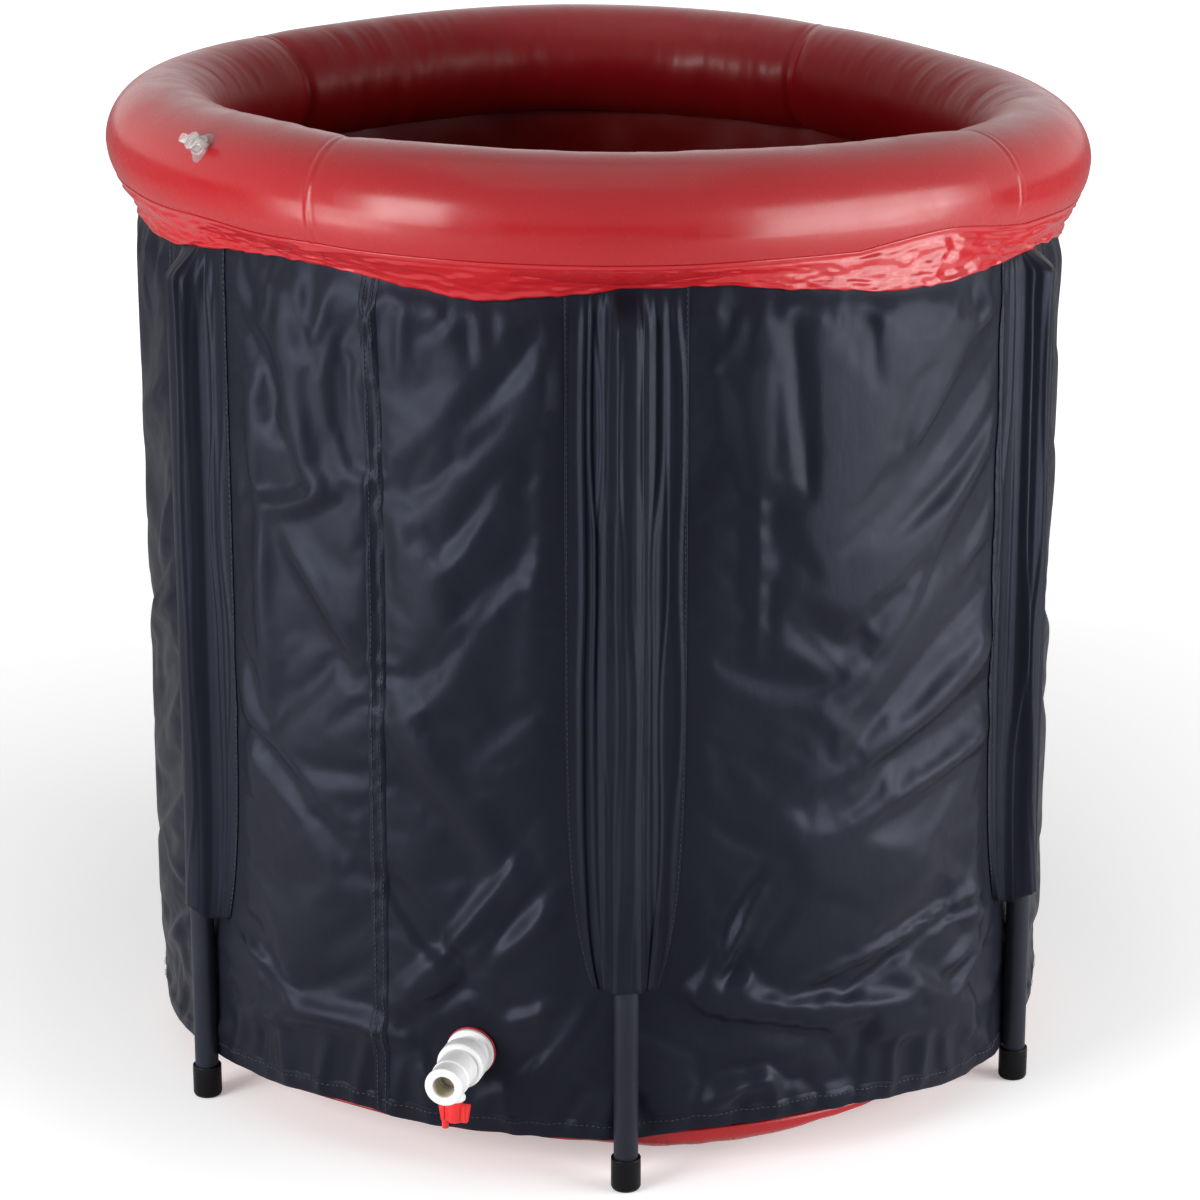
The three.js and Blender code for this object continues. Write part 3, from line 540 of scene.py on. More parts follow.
# Folds of the two front panels, picked in the photograph: push, width, and three points of angle in
# degrees and height in millimetres.
FRONT_FOLDS = (
    (-7, 13, (11.5, 640), (2, 580), (-7, 520)),
    (6, 9, (11.5, 645), (7, 600), (-1.5, 555)),
    (7, 12, (10.5, 630), (6.5, 555), (-2, 470)),
    (-6, 10, (6.5, 565), (2, 515), (-3, 470)),
    (4, 7, (10.5, 615), (9.5, 535), (7, 380)),
    (-6, 9, (-33, 630), (-25, 620), (-25.5, 555)),
    (5, 8, (-28, 590), (-29, 540), (-28.5, 495)),
    (6, 9, (-23.5, 650), (-22, 530), (-18.5, 510)),
    (5, 8, (-18.5, 515), (-19, 500), (-27, 490)),
    (-6, 8, (-14.5, 630), (-16.5, 580), (-14, 535)),
    (5, 11, (-24.5, 480), (-18.5, 435), (-13.5, 390)),
    (-5, 9, (-11.5, 585), (-10, 495), (-11, 360)),
    (4, 9, (-27.5, 495), (-28, 420), (-27.5, 340)),
    (-4, 10, (-38, 330), (-23, 300), (-15.5, 230)),
    (5, 14, (-8.5, 365), (-2, 295), (9, 215)),
    (-4, 14, (9.5, 505), (0.5, 430), (-8.5, 365)),
    (4, 10, (-35, 375), (-29.5, 340), (-31, 270)),
    (5, 11, (-9, 130), (0, 165), (11, 220)),
    (-5, 10, (-10, 225), (-3.5, 170), (6, 135)),
    (4, 10, (-35.5, 80), (-19, 120), (-9, 100)),
    (-6, 8, (27.5, 640), (27, 590), (27, 530)),
    (5, 6, (33, 640), (33.5, 515), (33.5, 400)),
    (-5, 8, (37.5, 640), (39, 570), (39, 520)),
    (-6, 17, (73.5, 610), (57.5, 540), (40.5, 470)),
    (-7, 15, (75, 525), (60.5, 440), (44, 320)),
    (5, 16, (74, 560), (58, 490), (41, 400)),
    (5, 10, (70.5, 630), (62, 615), (50, 605)),
    (4, 6, (26, 145), (29.5, 170), (34, 225)),
    (-4, 6, (27.5, 140), (32, 160), (38, 205)),
    (7, 9, (26, 145), (35, 135), (46, 100)),
    (-6, 12, (26, 110), (34.5, 95), (46.5, 65)),
    (4, 15, (74, 150), (54, 240), (39.5, 260)),
    (5, 10, (44, 100), (58.5, 90), (73.5, 80)),
    (-8, 15, (86, 455), (61, 425), (44, 335)),
    (6, 13, (87.5, 405), (65, 370), (46.5, 300)),
    (-6, 10, (86, 340), (58.5, 330), (40, 285)),
    (5, 9, (82, 310), (59, 295), (43.5, 260)),
    (4, 4.5, (75.5, 175), (54.5, 175), (38.5, 145)),
    (-4, 4, (71.5, 170), (55.5, 160), (46, 130)),
    (4, 4, (69, 165), (59.5, 160), (54, 150)),
    (-4, 4.5, (34.5, 240), (31.5, 210), (29, 160)),
    (4, 4, (33, 200), (31, 180), (29, 155)),
    (8, 9, (21.5, 145), (37.5, 130), (55.5, 110)),
    (-9, 11, (21, 125), (32.5, 110), (49, 95)),
    (5, 11, (55.5, 130), (66.5, 80), (77.5, 10)),
    (5, 9, (24, 55), (35, 70), (40.5, 100)),
    (-5, 9, (27.5, 85), (35, 90), (44.5, 75)),
    (-7, 9, (26.5, 640), (28.5, 590), (28, 550)),
    (6, 9, (34, 645), (32, 585), (33, 535)),
    (-6, 14, (45, 645), (50, 605), (43, 550)),
    (6, 11, (62, 615), (57, 570), (52.5, 525)),
    (-5, 9, (71, 555), (63, 510), (53.5, 485)),
    (5, 7, (6, 250), (0, 195), (-7.5, 145)),
    (-5, 8, (9, 235), (3.5, 180), (-4, 135)),
)


def hem_height(angle):
    turns, heights = np.array(HEM_KNOTS).T
    share = angle / TURN % 1
    uneven = 0.0012 * noise(share, 0.5, 74, 1, 37) + 0.0007 * noise(share, 0.5, 190, 1, 38)
    return np.interp(angle, np.radians(turns), heights * MM, period=TURN) + uneven


def fold(angle, height, push, width, path):
    """Height of one fold along a curved line on the wall."""
    share = np.linspace(0, 1, 33)
    start, middle, end = np.array(path)[:, :, None]
    line = start * (1 - share) ** 2 + 2 * middle * share * (1 - share) + end * share ** 2
    nearest = np.full(np.broadcast(angle, height).shape, np.inf)
    along = np.zeros_like(nearest)
    for spot, turn, level in zip(share, np.radians(line[0]), line[1] * MM):
        gap = (turn_between(angle, turn) * WALL_RADIUS) ** 2 + (height - level) ** 2
        closer = gap < nearest
        nearest = np.where(closer, gap, nearest)
        along = np.where(closer, spot, along)
    body = np.sin(math.pi * np.clip(along * 0.86 + 0.07, 0, 1)) ** 0.6
    return push * FOLD_SCALE * body * np.exp(-nearest / (width * MM) ** 2)


def random_folds(seed):
    """Folds of the panels that the photograph doesn't show, and the small gathers all round."""
    draw = np.random.default_rng(seed)
    folds = []
    for panel in range(1, 5):
        low = math.degrees(POLE_ANGLES[panel]) + 8
        high = low + 44
        for count in range(13):
            side = draw.choice((low, high))
            reach = draw.uniform(12, 36) * (1 if side == low else -1)
            top = draw.uniform(230, 640)
            drop = draw.uniform(60, 190)
            push = draw.choice((-6, -5, 5, 6))
            width = draw.uniform(8, 16)
            bow = draw.uniform(0.35, 0.65)
            middle = (side + reach * bow, top - drop * draw.uniform(0.3, 0.6))
            folds.append((push, width, (side, top), middle, (side + reach, top - drop)))
    for pole in np.degrees(POLE_ANGLES):
        for side in (-1, 1):
            for count in range(4):
                reach = draw.uniform(7, 14)
                drop = draw.uniform(-14, 70)
                start = 3.4 + draw.uniform(-0.6, 1.0)
                path = ((pole + side * start, 156), (pole + side * (start + reach * 0.5), 150 - drop * 0.6),
                        (pole + side * (start + reach), 148 - drop))
                folds.append((draw.choice((-4, 4, 5)), draw.uniform(4, 8), *path))
    for spot in np.arange(0, 360, 3.1):
        lean = draw.uniform(-1.5, 1.5)
        length = draw.uniform(22, 62)
        push = draw.choice((-2.6, -2, 2, 2.6))
        path = ((spot, 676), (spot + lean, 660 - length / 2), (spot + 2 * lean, 660 - length))
        folds.append((push, draw.uniform(3.5, 6), *path))
    for spot in np.arange(0, 360, 5.3):
        lean = draw.uniform(-4, 4)
        rise = draw.uniform(18, 70)
        push = draw.choice((-2.5, -2, 2, 2.5))
        path = ((spot, 40), (spot + lean / 2, 44 + rise / 2), (spot + lean, 44 + rise))
        folds.append((push, draw.uniform(4, 8), *path))
    return folds


COVER_COLUMNS, COVER_ROWS = 420, 120
cover_angle = all_round(COVER_COLUMNS)
cover_up = upward(COVER_ROWS)
cover_low = hem_height(cover_angle)
cover_height = cover_low + (COVER_TOP - cover_low) * cover_up


def pole_away(angle):
    """Arc along the wall to the nearest pole."""
    gaps = [np.abs(turn_between(angle, pole)) for pole in POLE_ANGLES]
    return np.minimum.reduce(gaps) * WALL_RADIUS


def drain_away(angle, height):
    return np.hypot(turn_between(angle, 0) * WALL_RADIUS, height - DRAIN_HEIGHT)


free = ease(POCKET_HALF - 0.006, POCKET_HALF + 0.022, pole_away(cover_angle))
free = np.maximum(free, 0.6 * ease(POCKET_BOTTOM, POCKET_BOTTOM - 0.03, cover_height))
free = free * ease(0.022, 0.040, drain_away(cover_angle, cover_height))
under_skirt = ease(-0.004, 0.022, skirt_edge(cover_angle) - cover_height)
push = np.zeros_like(cover_height)
for amount, width, *path in (*FRONT_FOLDS, *random_folds(31)):
    deeper = LOW_FOLD_GAIN if path[1][1] < LOW_FOLD_TOP else 1.0
    push = push + fold(cover_angle, cover_height, amount * deeper, width, path)
calm = np.ones_like(cover_angle)
for outline in OUTLINE_ANGLES:
    calm = calm - 0.75 * bell(turn_between(cover_angle, outline), math.radians(15))
slack = 0.0035 * free * under_skirt * calm
cover_radius = WALL_RADIUS + slack + np.maximum(push, -0.0045) * calm * free * (0.15 + 0.85 * under_skirt)
cover_points = at(cover_angle, cover_radius, cover_height)

CLOTH_SETTINGS = {"quality": 5, "mass": 0.2, "tension_stiffness": 20, "compression_stiffness": 20,
                  "shear_stiffness": 8, "bending_stiffness": 0.35, "air_damping": 2, "shrink_min": -0.014,
                  "vertex_group_mass": "held"}
CLOTH_GAP = 0.001
CLOTH_FRAMES = 16


def settle(points, held, frames):
    """Lets the cloth hang and settle against the tub's wall, and returns where its points come to rest."""
    rows, columns = points.shape[:2]
    band = grid_object("settling_cloth", points, wrap_columns=True)
    group = band.vertex_groups.new(name="held")
    for index, weight in enumerate(held.ravel()):
        if weight > 0:
            group.add([index], float(weight), "REPLACE")
    wall_turn = all_round(120)
    wall_height = upward(40, 0, 0.72)
    wall = grid_object("settling_wall", at(wall_turn, LINER_RADIUS + 0.002, wall_height), wrap_columns=True)
    wall.modifiers.new("wall", "COLLISION")
    wall.collision.thickness_outer = CLOTH_GAP
    hang = band.modifiers.new("cloth", "CLOTH")
    for name, value in CLOTH_SETTINGS.items():
        setattr(hang.settings, name, value)
    hang.settings.effector_weights.gravity = 0.03
    hang.collision_settings.distance_min = CLOTH_GAP
    hang.point_cache.frame_start = 1
    hang.point_cache.frame_end = frames
    for step in range(1, frames + 1):
        bpy.context.scene.frame_set(step)
    drawn = band.evaluated_get(bpy.context.evaluated_depsgraph_get())
    flat = np.empty(rows * columns * 3)
    drawn.data.vertices.foreach_get("co", flat)
    for helper in (band, wall):
        bpy.data.objects.remove(helper)
    bpy.context.scene.frame_set(1)
    return flat.reshape(rows, columns, 3)


held = np.clip(1 - free, 0, 1) * (pole_away(cover_angle) < POCKET_HALF + 0.03)
held = np.where(drain_away(cover_angle, cover_height) < 0.03, 1, held)
near_seam = np.abs(turn_between(cover_angle, MID_SEAM)) * WALL_RADIUS < 0.006
held = np.where(near_seam, np.maximum(held, 0.35), held)
held = np.where(cover_up > 0.975, 1, held)
held = np.where(cover_up < 0.012, 1, held)
cover_points = settle(cover_points, held, CLOTH_FRAMES)
reach = np.hypot(cover_points[..., 0], cover_points[..., 1])
furthest = COVER_LIFT + COVER_SWELL * under_skirt * (0.1 + 0.9 * calm)
kept = np.clip(reach, WALL_RADIUS - COVER_DIP, WALL_RADIUS + furthest)
cover_points[..., 0] *= kept / reach
cover_points[..., 1] *= kept / reach
uv_turn = np.linspace(0, TURN * WALL_RADIUS, COVER_COLUMNS + 1)[None, :]
uv_up = upward(COVER_ROWS, 0, 0.655)
cover = grid_object("cover", cover_points, wrap_columns=True, uv=stacked(uv_turn, uv_up))
subdivide(thicken(cover, 0.0008))
finish_piece(cover, BLACK_CLOTH, "tub", ["fabric_cover"])


# Pole pockets

# Half of a pocket's section in millimetres: sideways from the pole, and out from the wall.
POCKET_SECTION = ((0, 20.9), (5.5, 20.0), (9.2, 16.8), (11.4, 12.0), (14.5, 6.6), (20, 2.6),
                  (28, 1.2), (36, 0.6), (43, 0.1))


def pocket_section(share):
    """Sideways place and height of the pocket's cloth over the wall, for shares from -1 to 1."""
    half = np.array(POCKET_SECTION) * MM
    steps = run_along(half)
    fine = np.linspace(0, steps[-1], 200)
    side, rise = (np.interp(fine, steps, part) for part in half.T)
    side_both = np.concatenate([-side[:0:-1], side])
    rise_both = smoothed(np.concatenate([rise[:0:-1], rise]), 23)
    place = np.linspace(-1, 1, len(rise_both))
    return np.interp(share, place, side_both), np.interp(share, place, rise_both)


settled_reach = np.hypot(cover_points[..., 0], cover_points[..., 1])


def cover_spot(angle, height):
    """Radius of the settled cover at an angle and height."""
    low = hem_height(angle)
    row = np.clip((height - low) / (COVER_TOP - low), 0, 0.9999) * (COVER_ROWS - 1)
    return read_grid(settled_reach, angle % TURN / TURN * COVER_COLUMNS, row)


POCKET_COLUMNS, POCKET_ROWS = 144, 160
stitch_lines = []
for number, pole_angle in enumerate(POLE_ANGLES, 1):
    across = np.linspace(-1, 1, POCKET_COLUMNS)[None, :]
    up = upward(POCKET_ROWS)
    side, rise = pocket_section(across)
    draw = np.random.default_rng(500 + number)
    top = skirt_edge(pole_angle) + 0.007
    arch = 0.006 * bell(across, 0.3) + 0.005 * noise(across * 0.4 + 0.5, 0.5, 9, 1, 60 + number)
    height = POCKET_BOTTOM + (top - POCKET_BOTTOM) * up + (1 - up) ** 6 * arch
    ridges = np.zeros((POCKET_ROWS, POCKET_COLUMNS))
    for count in range(12):
        spot = -0.94 + 1.88 * (count + draw.uniform(0.1, 0.9)) / 12
        drift = 0.08 * noise(0.5, up, 4, 5, 700 + number * 20 + count)
        span = draw.uniform(0.3, 0.9)
        middle = draw.uniform(0.1, 0.9)
        body = np.exp(-((up - middle) / span) ** 4)
        width = draw.uniform(0.020, 0.062)
        ridges = ridges + draw.uniform(0.0006, 0.0024) * body * bell(across - spot - drift, width)
    flap = 1 - 0.62 * (1 - up) ** 9
    side = np.where(np.abs(side) > 0.012, np.sign(side) * (0.012 + (np.abs(side) - 0.012) * flap), side)
    inside = ease(1.0, 0.9, np.abs(across))
    close = ease(POCKET_TOP, top - 0.003, height)
    gathers = 0.0012 * noise(across * 0.5 + 0.5, up, 22, 3, 90 + number) * ease(0.90, 0.97, up)
    rise = (rise + ridges * inside + gathers * inside) * (1 - close)
    rise = rise + 0.0025 * (1 - up) ** 14 * inside * (1 + noise(across * 0.5 + 0.5, 0.5, 8, 1, 80 + number))
    turn = pole_angle + side / WALL_RADIUS
    resting = np.maximum(cover_spot(turn, height) - WALL_RADIUS, -0.0005)
    rise = rise + resting * ease(0.45, 0.95, np.abs(across))
    pocket_points = at(turn, WALL_RADIUS + 0.0004 + rise, height)
    pocket_uv = stacked(pole_angle * WALL_RADIUS + across * 0.056, height)
    pocket = grid_object(f"pocket_{number}", pocket_points, uv=pocket_uv)
    thicken(pocket, 0.0005, 1)
    finish_piece(pocket, BLACK_CLOTH, "tub", [f"pole_pocket_{number}"])
    for column in (2, POCKET_COLUMNS - 3):
        stitch_lines.append(pocket_points[:, column])


# Sewn seam, hem and stitching of the cover

SEAM_HALF = 0.0068
seam_side = np.linspace(-1, 1, 13)[None, :]
seam_turn = MID_SEAM + seam_side * SEAM_HALF / WALL_RADIUS
seam_low = hem_height(seam_turn) + 0.001
seam_up = upward(220)
seam_height = seam_low + (skirt_edge(MID_SEAM) + 0.008 - seam_low) * seam_up
seam_rise = 0.0011 * ease(1.0, 0.7, np.abs(seam_side)) - 0.0005 * bell(seam_side, 0.14)
seam_inside = ease(1.0, 0.8, np.abs(seam_side))
seam_rise = seam_rise + 0.0004 * noise(seam_side * 0.3 + 0.5, seam_up, 8, 70, 51) * seam_inside
seam_rise = seam_rise * ease(1, 0.97, seam_up)
seam_points = at(seam_turn, cover_spot(seam_turn, seam_height) + 0.0002 + seam_rise, seam_height)
seam_uv = stacked(seam_turn * WALL_RADIUS, seam_height)
seam = grid_object("mid_seam", seam_points, uv=seam_uv)
finish_piece(seam, BLACK_CLOTH, "tub")
stitch_lines.extend((seam_points[:, 3], seam_points[:, 9]))

HEM_DEPTH = 0.015
HEM_COLUMNS = 900
hem_angle = all_round(HEM_COLUMNS)
hem_up = upward(9)
hem_rise = 0.0009 * np.sin(math.pi * np.clip(hem_up * 1.08, 0, 1)) ** 0.35
hem_rise = hem_rise * (1 + 0.35 * noise(hem_angle / TURN, hem_up, 240, 2, 52))
hem_level = hem_height(hem_angle) - 0.0004 + HEM_DEPTH * hem_up
hem_points = at(hem_angle, cover_spot(hem_angle, hem_level) + hem_rise, hem_level)
hem_run = np.linspace(0, TURN, HEM_COLUMNS + 1)[None, :] * WALL_RADIUS
hem_uv = stacked(hem_run, HEM_DEPTH * hem_up)
hem = grid_object("hem_band", hem_points, wrap_columns=True, uv=hem_uv)
finish_piece(hem, BLACK_CLOTH, "tub")
stitch_lines.append(hem_points[6])

# A stitch as a low block: corners as shares of its length, width and height, and its open faces.
STITCH_CORNERS = ((-0.5, -0.5, 0), (0.5, -0.5, 0), (0.5, 0.5, 0), (-0.5, 0.5, 0),
                  (-0.34, -0.3, 1), (0.34, -0.3, 1), (0.34, 0.3, 1), (-0.34, 0.3, 1))
STITCH_FACES = ((4, 5, 6, 7), (0, 1, 5, 4), (1, 2, 6, 5), (2, 3, 7, 6), (3, 0, 4, 7))


def stitches(name, lines, pitch=0.0042, length=0.0027, width=0.00055, height=0.00045):
    """Short threads along sewn lines."""
    points, faces = [], []
    for line in lines:
        steps = run_along(line)
        spots = np.arange(pitch / 2, steps[-1], pitch)
        here = stacked(*(np.interp(spots, steps, part) for part in line.T))
        on = stacked(*(np.interp(spots + length / 2, steps, part) for part in line.T))
        along = on - here
        along = along / np.maximum(np.linalg.norm(along, axis=1, keepdims=True), 1e-9)
        out = here * np.array([1, 1, 0])
        out = out / np.linalg.norm(out, axis=1, keepdims=True)
        side = np.cross(along, out)
        for middle, forward, outward, sideways in zip(here, along, out, side):
            first = len(points)
            for x, y, z in STITCH_CORNERS:
                lift = outward * (z * height + 0.0004)
                points.append(tuple(middle + forward * x * length + sideways * y * width + lift))
            for face in STITCH_FACES:
                faces.append(tuple(first + corner for corner in face))
    return mesh_object(name, points, faces)


stitching = finish_piece(stitches("stitching", stitch_lines), THREAD, "tub")


# Poles with their caps

# Section of a foot cap in millimetres: from its axis, and up.
FOOT_SECTION = ((0, 0), (9.8, 0), (11, 2.2), (11, 25), (9.3, 25), (9.3, 4.4), (0, 4))
for number, pole_angle in enumerate(POLE_ANGLES, 1):
    x, y = POLE_CIRCLE * math.sin(pole_angle), -POLE_CIRCLE * math.cos(pole_angle)
    place = Matrix.Translation((x, y, 0))
    tube = rounded([(POLE_BORE, POLE_BOTTOM), (POLE_RADIUS, POLE_BOTTOM), (POLE_RADIUS, POLE_TOP),
                    (POLE_BORE, POLE_TOP), (POLE_BORE, POLE_BOTTOM + 0.0001)], 0.0006)
    pole = lathe(f"tube_{number}", tube, place)
    finish_piece(pole, GREY_POLE, f"pole_{number}_set", [f"pole_{number}"])
    foot = turned(f"foot_{number}", FOOT_SECTION, 0.8, place)
    finish_piece(foot, BLACK_RUBBER, f"pole_{number}_set", [f"foot_cap_{number}"])
    paint(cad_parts[f"top_cap_{number}"], BLACK_RUBBER)


# Liner and foam

LINER_COLUMNS, LINER_ROWS = 420, 90
liner_angle = all_round(LINER_COLUMNS)
liner_share = liner_angle / TURN
liner_up = upward(LINER_ROWS)
liner_height = LINER_LOW + (LINER_HIGH - LINER_LOW) * liner_up
wrinkle = noise(liner_share + 0.03 * liner_up, liner_up, 46, 5, 41)
wrinkle = wrinkle + 0.5 * noise(liner_share - 0.05 * liner_up, liner_up, 90, 9, 42)
liner_free = ease(0.03, 0.05, drain_away(liner_angle, liner_height))
liner_free = liner_free * ease(0, 0.1, liner_up) * ease(1, 0.93, liner_up)
liner_radius = LINER_RADIUS - 0.0022 * liner_free * (1 + wrinkle)
liner_points = at(liner_angle, liner_radius, liner_height)[::-1]
liner = grid_object("liner_side", liner_points, wrap_columns=True)
thicken(liner, 0.0006, 1)
finish_piece(liner, RED_LINER_PAINTED_SHADE, "tub", ["liner_wall"])

foam_height = upward(70, FOAM_LOW, FOAM_HIGH)
foam_angle = all_round(240)
foam_radius = FOAM_RADIUS + 0.0003 * noise(foam_angle / TURN, foam_height / 0.7, 160, 50, 44)
foam = grid_object("foam_layer", at(foam_angle, foam_radius, foam_height), wrap_columns=True)
thicken(foam, 0.0026, 0)
finish_piece(foam, FOAM, "tub", ["insulation_foam"])

# Section of the floor in metres: from the axis, and up.
FLOOR_PROFILE = ((0.0005, 0.0), (0.09, 0.0), (0.18, 0.0006), (0.22, 0.0050), (0.26, 0.0094), (0.30, 0.0136),
                 (0.325, 0.0165), (0.336, 0.0190), (0.3412, 0.0222), (0.3446, 0.0270), (0.3452, 0.0355))
# Angles of the floor in radians: where its edge sags in front, and the middle of the side that is seen.
FLOOR_SAG = math.radians(31)
FLOOR_FRONT = 0.27
floor_angle = all_round(360)
profile = np.array(FLOOR_PROFILE)
profile_at = run_along(profile)
floor_steps = upward(90, 0, profile_at[-1])
floor_radius, floor_height = (np.interp(floor_steps, profile_at, part) for part in profile.T)
floor_free = ease(0.15, 0.30, floor_radius)
floor_share = floor_angle / TURN
creases = noise(floor_share, floor_radius / 0.36, 64, 5, 45)
creases = creases + 0.6 * noise(floor_share, floor_radius / 0.36, 130, 9, 46)
sag = bell(turn_between(floor_angle, FLOOR_SAG), math.radians(17))
behind = ease(60, 100, np.abs(np.degrees(turn_between(floor_angle, FLOOR_FRONT))))
sag = np.maximum(sag, 0.75 * ease(0.25, 0.75, noise(floor_share, 0.5, 13, 1, 47)) * behind)
lift = 0.0105 * (1 - sag) * ease(0.20, 0.315, floor_radius) * ease(0.0350, 0.0200, floor_height)
floor_height = floor_height + lift + 0.0016 * floor_free * creases * ease(0.0355, 0.028, floor_height)
floor_points = at(floor_angle, floor_radius, np.maximum(floor_height, 0.0001))
floor = grid_object("liner_bottom", floor_points, wrap_columns=True)
thicken(floor, 0.0012)
finish_piece(floor, RED_FLOOR, "tub", ["liner_floor"])


# Drain tap

DRAIN = axes((0, 0, DRAIN_HEIGHT), (1, 0, 0), (0, -1, 0))


def drain_piece(name, corners, material, node, radius=0.9):
    """A turned piece on the drain's axis, in millimetres."""
    return finish_piece(turned(name, corners, radius, DRAIN, 72), material, "tub", [node])


drain_piece("flange_nut", [(10.9, 352.6), (18, 352.6), (18, 356.4), (14.6, 356.8), (14, 358), (14, 365.6),
                           (10.9, 365.6), (10.9, 352.7)], WHITE_PLASTIC, "drain_flange_nut")
drain_piece("inlet_collar", [(10.9, 365.9), (15.5, 365.9), (17.5, 368.4), (17.5, 379.6), (15.6, 381.9),
                             (10.9, 381.9), (10.9, 366)], WHITE_PLASTIC, "tap_inlet")
drain_piece("red_washer", [(10.9, 350.4), (18.6, 350.4), (18.6, 352.3), (10.9, 352.3), (10.9, 350.5)],
            RED_FLOOR, "drain_outer_gasket", radius=0.5)

BALL_PLACE = -0.39276
PEG_SIDE = -0.0072
SPINDLE = Matrix.Translation((0, BALL_PLACE, 0))
tap_shell = turned("tap_shell_turned", [
    (11, 382.4), (14.3, 382.4), (14.3, 402.4), (13.5, 403.9), (13.5, 415.2), (14.2, 415.6), (14.2, 418.3),
    (8.3, 418.3), (8, 417.4), (8, 404.6), (11, 403), (11, 382.5)], 0.8, DRAIN, 72)
bonnet = turned("bonnet", [(0, 78.8), (8, 78.8), (8, 81.5), (7.2, 82.2), (7.2, 93), (0, 93)], 0.6, SPINDLE)
finish_piece(join("tap_shell", tap_shell, bonnet), WHITE_PLASTIC, "tub", ["tap_body"])
# Partly painted shade: this darker cream lining of the spout's bore stands partly for the shade inside the
# white bore, partly for the cream tint it shows.
bore = turned("spout_bore", [(7.9, 417.4), (7.6, 417), (7.6, 404.8), (7.9, 404.5), (7.9, 417.3)], 0.2, DRAIN)
finish_piece(bore, CREAM_PLASTIC, "tub")

UPRIGHT = axes((0, BALL_PLACE, 0), (1, 0, 0), (0, -1, 0))
RIB_PLACES = (-7.8, -3.9, 3.9, 7.8)
wing = prism("wing", [(-9.8, 61.6), (9.8, 61.6), (12, 75.2), (-12, 75.2)], -2.4, 2.4, UPRIGHT, 0.7)
ribs = [prism(f"rib_{count}", [(x - 0.8, 62.8), (x + 0.8, 62.8), (x + 0.8, 74.2), (x - 0.8, 74.2)],
              -3.1, 3.1, UPRIGHT, 0.3) for count, x in enumerate(RIB_PLACES)]
hub = turned("hub", [(2.2, 61.4), (5, 61.4), (5.4, 66), (6.2, 78.4), (2.2, 78.4), (2.2, 61.5)], 0.6, SPINDLE)
peg_place = Matrix.Translation((PEG_SIDE, BALL_PLACE, 0))
peg = turned("peg", [(0, 55.4), (2.5, 55.4), (2.7, 63), (0, 63)], 0.6, peg_place, 32)
lever = join("lever", wing, *ribs, hub, peg)
finish_piece(lever, RED_PLASTIC, "tap_spindle", ["tap_handle"])


# Air valve

VALVE_ANGLE, VALVE_TURN, STEP = math.radians(-35.3), math.radians(36), 1e-3


def on_ring(angle, turn):
    radius = ring_middle(angle) + RING_TUBE * math.cos(turn)
    return Vector(at(angle, radius, ring_level(angle) + RING_TUBE * math.sin(turn)))


valve_x = on_ring(VALVE_ANGLE + STEP, VALVE_TURN) - on_ring(VALVE_ANGLE - STEP, VALVE_TURN)
valve_y = on_ring(VALVE_ANGLE, VALVE_TURN + STEP) - on_ring(VALVE_ANGLE, VALVE_TURN - STEP)
VALVE = axes(on_ring(VALVE_ANGLE, VALVE_TURN), valve_x, valve_x.cross(valve_y))
valve_stem = turned("valve_neck", [(4.3, -2.2), (11.8, -1.9), (11.8, -0.9), (7.2, 0.9), (6, 1.9), (6, 8.5),
                                   (5.6, 9), (4.3, 9), (4.3, -2.1)], 0.5, VALVE)
finish_piece(valve_stem, CLEAR, "tub", ["air_valve_stem"])
cap = turned("cap", [(0, 2.4), (3.7, 2.4), (3.9, 9.2), (6.8, 9.3), (6.8, 10.8), (5.2, 11.3), (2.4, 11.3),
                     (1.6, 10.6), (0, 10.6)], 0.5, VALVE)
tab = prism("tab", [(-9, -3.5), (-13.6, -3.5), (-15.4, -2.2), (-15.8, 0), (-15.4, 2.2), (-13.6, 3.5),
                    (-9, 3.5), (-5.5, 3), (-5.5, -3)], 9.4, 11.1, VALVE, 0.4)
strap = ribbon("strap", [(5.5, 10.3), (9, 10.6), (11.4, 9.2), (12.2, 6.4), (11.6, 3.8), (9.4, 2.7),
                         (7.2, 2.7)], 4.8, 1.4, VALVE)
loop = turned("loop", [(6.3, 2), (7.9, 2), (7.9, 3.5), (6.3, 3.5), (6.3, 2.1)], 0.4, VALVE)
valve_plug = join("valve_plug", cap, tab, strap, loop)
finish_piece(valve_plug, CLEAR, "air_stopper", ["air_valve_stopper"])

CAD_LOOKS = {
    "drain_bulkhead": WHITE_PLASTIC, "drain_inner_gasket": BLACK_RUBBER, "tap_inner_seat": WHITE_PLASTIC,
    "tap_outer_seat": WHITE_PLASTIC, "tap_ball": CREAM_PLASTIC, "tap_stem": WHITE_PLASTIC,
    "tap_stem_o_ring": BLACK_RUBBER, "tap_handle_screw": STEEL, "air_valve_disc": CLEAR,
    "air_valve_flap": CLEAR}
for node, material in CAD_LOOKS.items():
    paint(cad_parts[node], material)


# Stage, light and camera

scene = bpy.context.scene
scene.view_settings.view_transform = "Standard"
STAGE_HALF, STAGE_LEVEL = 40, -0.0004
corners = [(-1, -1), (1, -1), (1, 1), (-1, 1)]
stage_corners = [(x * STAGE_HALF, y * STAGE_HALF, STAGE_LEVEL) for x, y in corners]
floor_sheet = mesh_object("stage_floor", stage_corners, [(0, 1, 2, 3)])
stage_look = bpy.data.materials.new("stage_white")
stage_look.use_nodes = True
stage = stage_look.node_tree
spot = add_node(stage, "TexCoord").outputs["Object"]
away = add_node(stage, "VectorMath", spot, operation="LENGTH").outputs["Value"]
glow = add_node(stage, "MapRange", Value=away, From_Min=0.45, From_Max=2.2, To_Min=0.30, To_Max=1.0)
direct = add_node(stage, "LightPath").outputs["Is Camera Ray"]
shown = add_node(stage, "Math", glow.outputs["Result"], direct, operation="MULTIPLY")
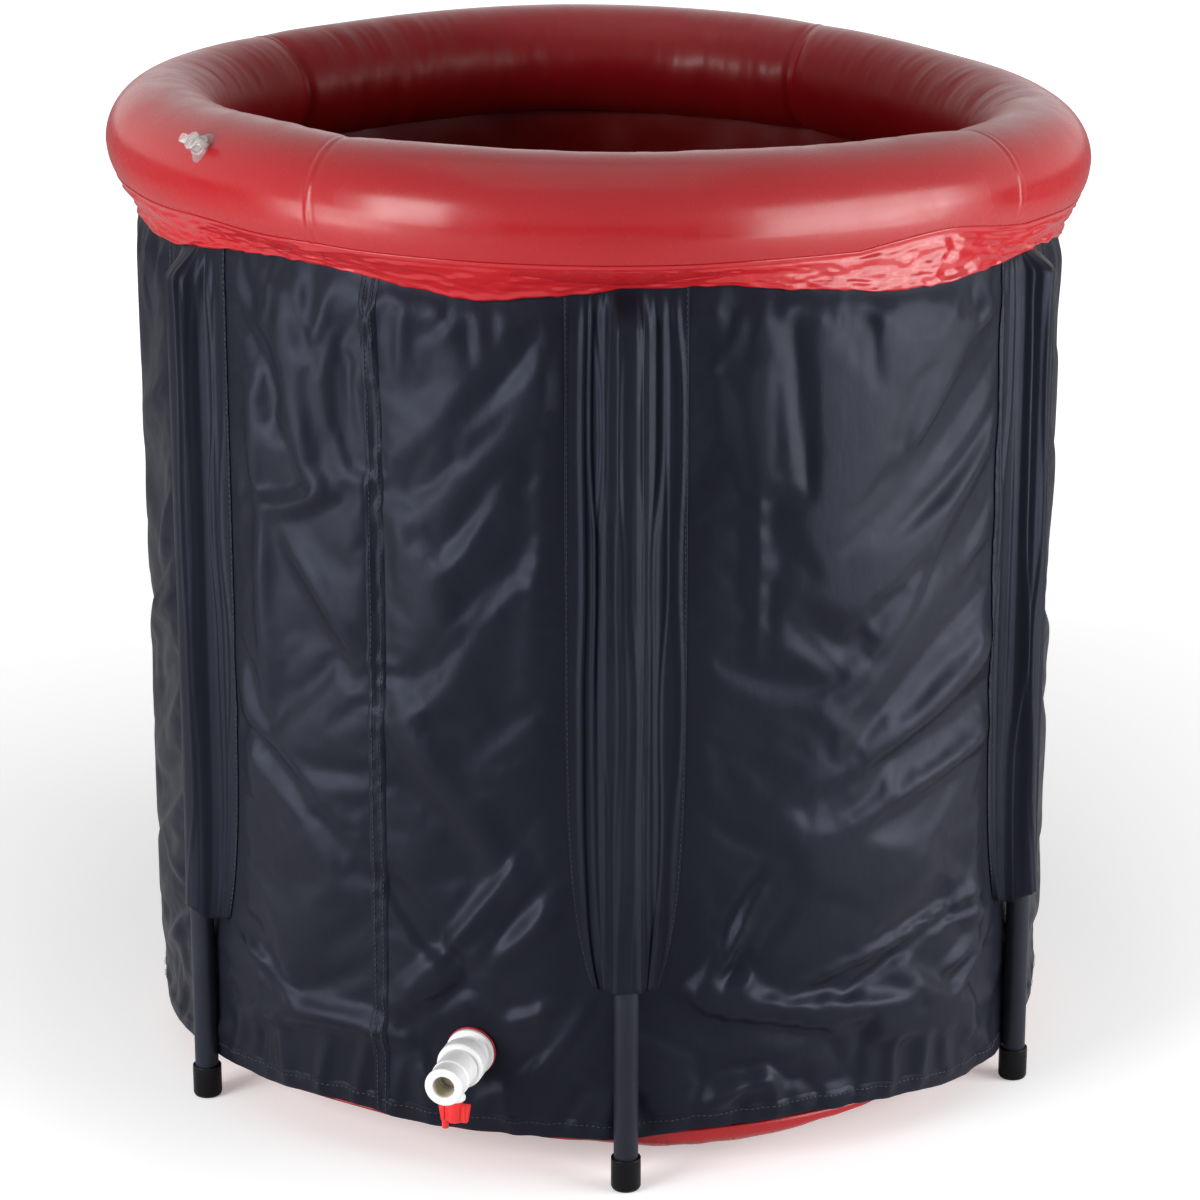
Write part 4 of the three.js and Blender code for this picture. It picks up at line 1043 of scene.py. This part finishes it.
feed(stage, stage.nodes["Principled BSDF"], Base_Color=(0.86, 0.86, 0.86, 1), Roughness=0.9,
     Emission_Color=(1, 1, 1, 1), Emission_Strength=shown.outputs[0])
floor_sheet.data.materials.append(stage_look)

world = bpy.data.worlds.new("studio")
scene.world = world
world.use_nodes = True
sky = world.node_tree
rays = add_node(sky, "LightPath").outputs
seen = add_node(sky, "Math", rays["Is Camera Ray"], rays["Is Glossy Ray"], operation="MAXIMUM").outputs[0]
seen = add_node(sky, "Math", seen, rays["Is Transmission Ray"], operation="MAXIMUM").outputs[0]
strength = add_node(sky, "MapRange", Value=seen, To_Min=0.20, To_Max=1.0).outputs["Result"]
feed(sky, sky.nodes["Background"], Strength=strength, Color=(1, 1, 1, 1))


def softbox(name, turn, rise, away, width, height, power, target=(0, 0, 0.42)):
    """A soft lamp at an angle from the camera's side."""
    lamp = bpy.data.lights.new(name, "AREA")
    lamp.shape = "RECTANGLE"
    lamp.size, lamp.size_y = width, height
    lamp.energy = power
    spot = bpy.data.objects.new(name, lamp)
    angle = CAMERA_SIDE + math.radians(turn)
    level = math.radians(rise)
    spot.location = (away * math.cos(level) * math.sin(angle), -away * math.cos(level) * math.cos(angle),
                     target[2] + away * math.sin(level))
    spot.rotation_euler = (Vector(target) - spot.location).to_track_quat("-Z", "Y").to_euler()
    scene.collection.objects.link(spot)


softbox("key", -46, 13, 2.6, 1.0, 1.3, 48)
softbox("side", 70, 11, 2.6, 1.9, 0.9, 36)
softbox("low_left", -62, 2, 1.6, 0.7, 0.6, 8, (0, 0, 0.30))
softbox("low_right", 66, 2, 1.6, 1.2, 0.6, 14, (0, 0, 0.30))
softbox("top", 10, 82, 2.6, 2.2, 2.2, 8)

camera = bpy.data.cameras.new("camera")
camera.lens = CAMERA_LENS
camera.sensor_width = 36
eye = bpy.data.objects.new("camera", camera)
eye.location = (CAMERA_AWAY * math.sin(CAMERA_SIDE), -CAMERA_AWAY * math.cos(CAMERA_SIDE), CAMERA_HEIGHT)
eye.rotation_euler = (math.pi / 2 - CAMERA_DIP, 0, CAMERA_SIDE)
scene.collection.objects.link(eye)
scene.camera = eye
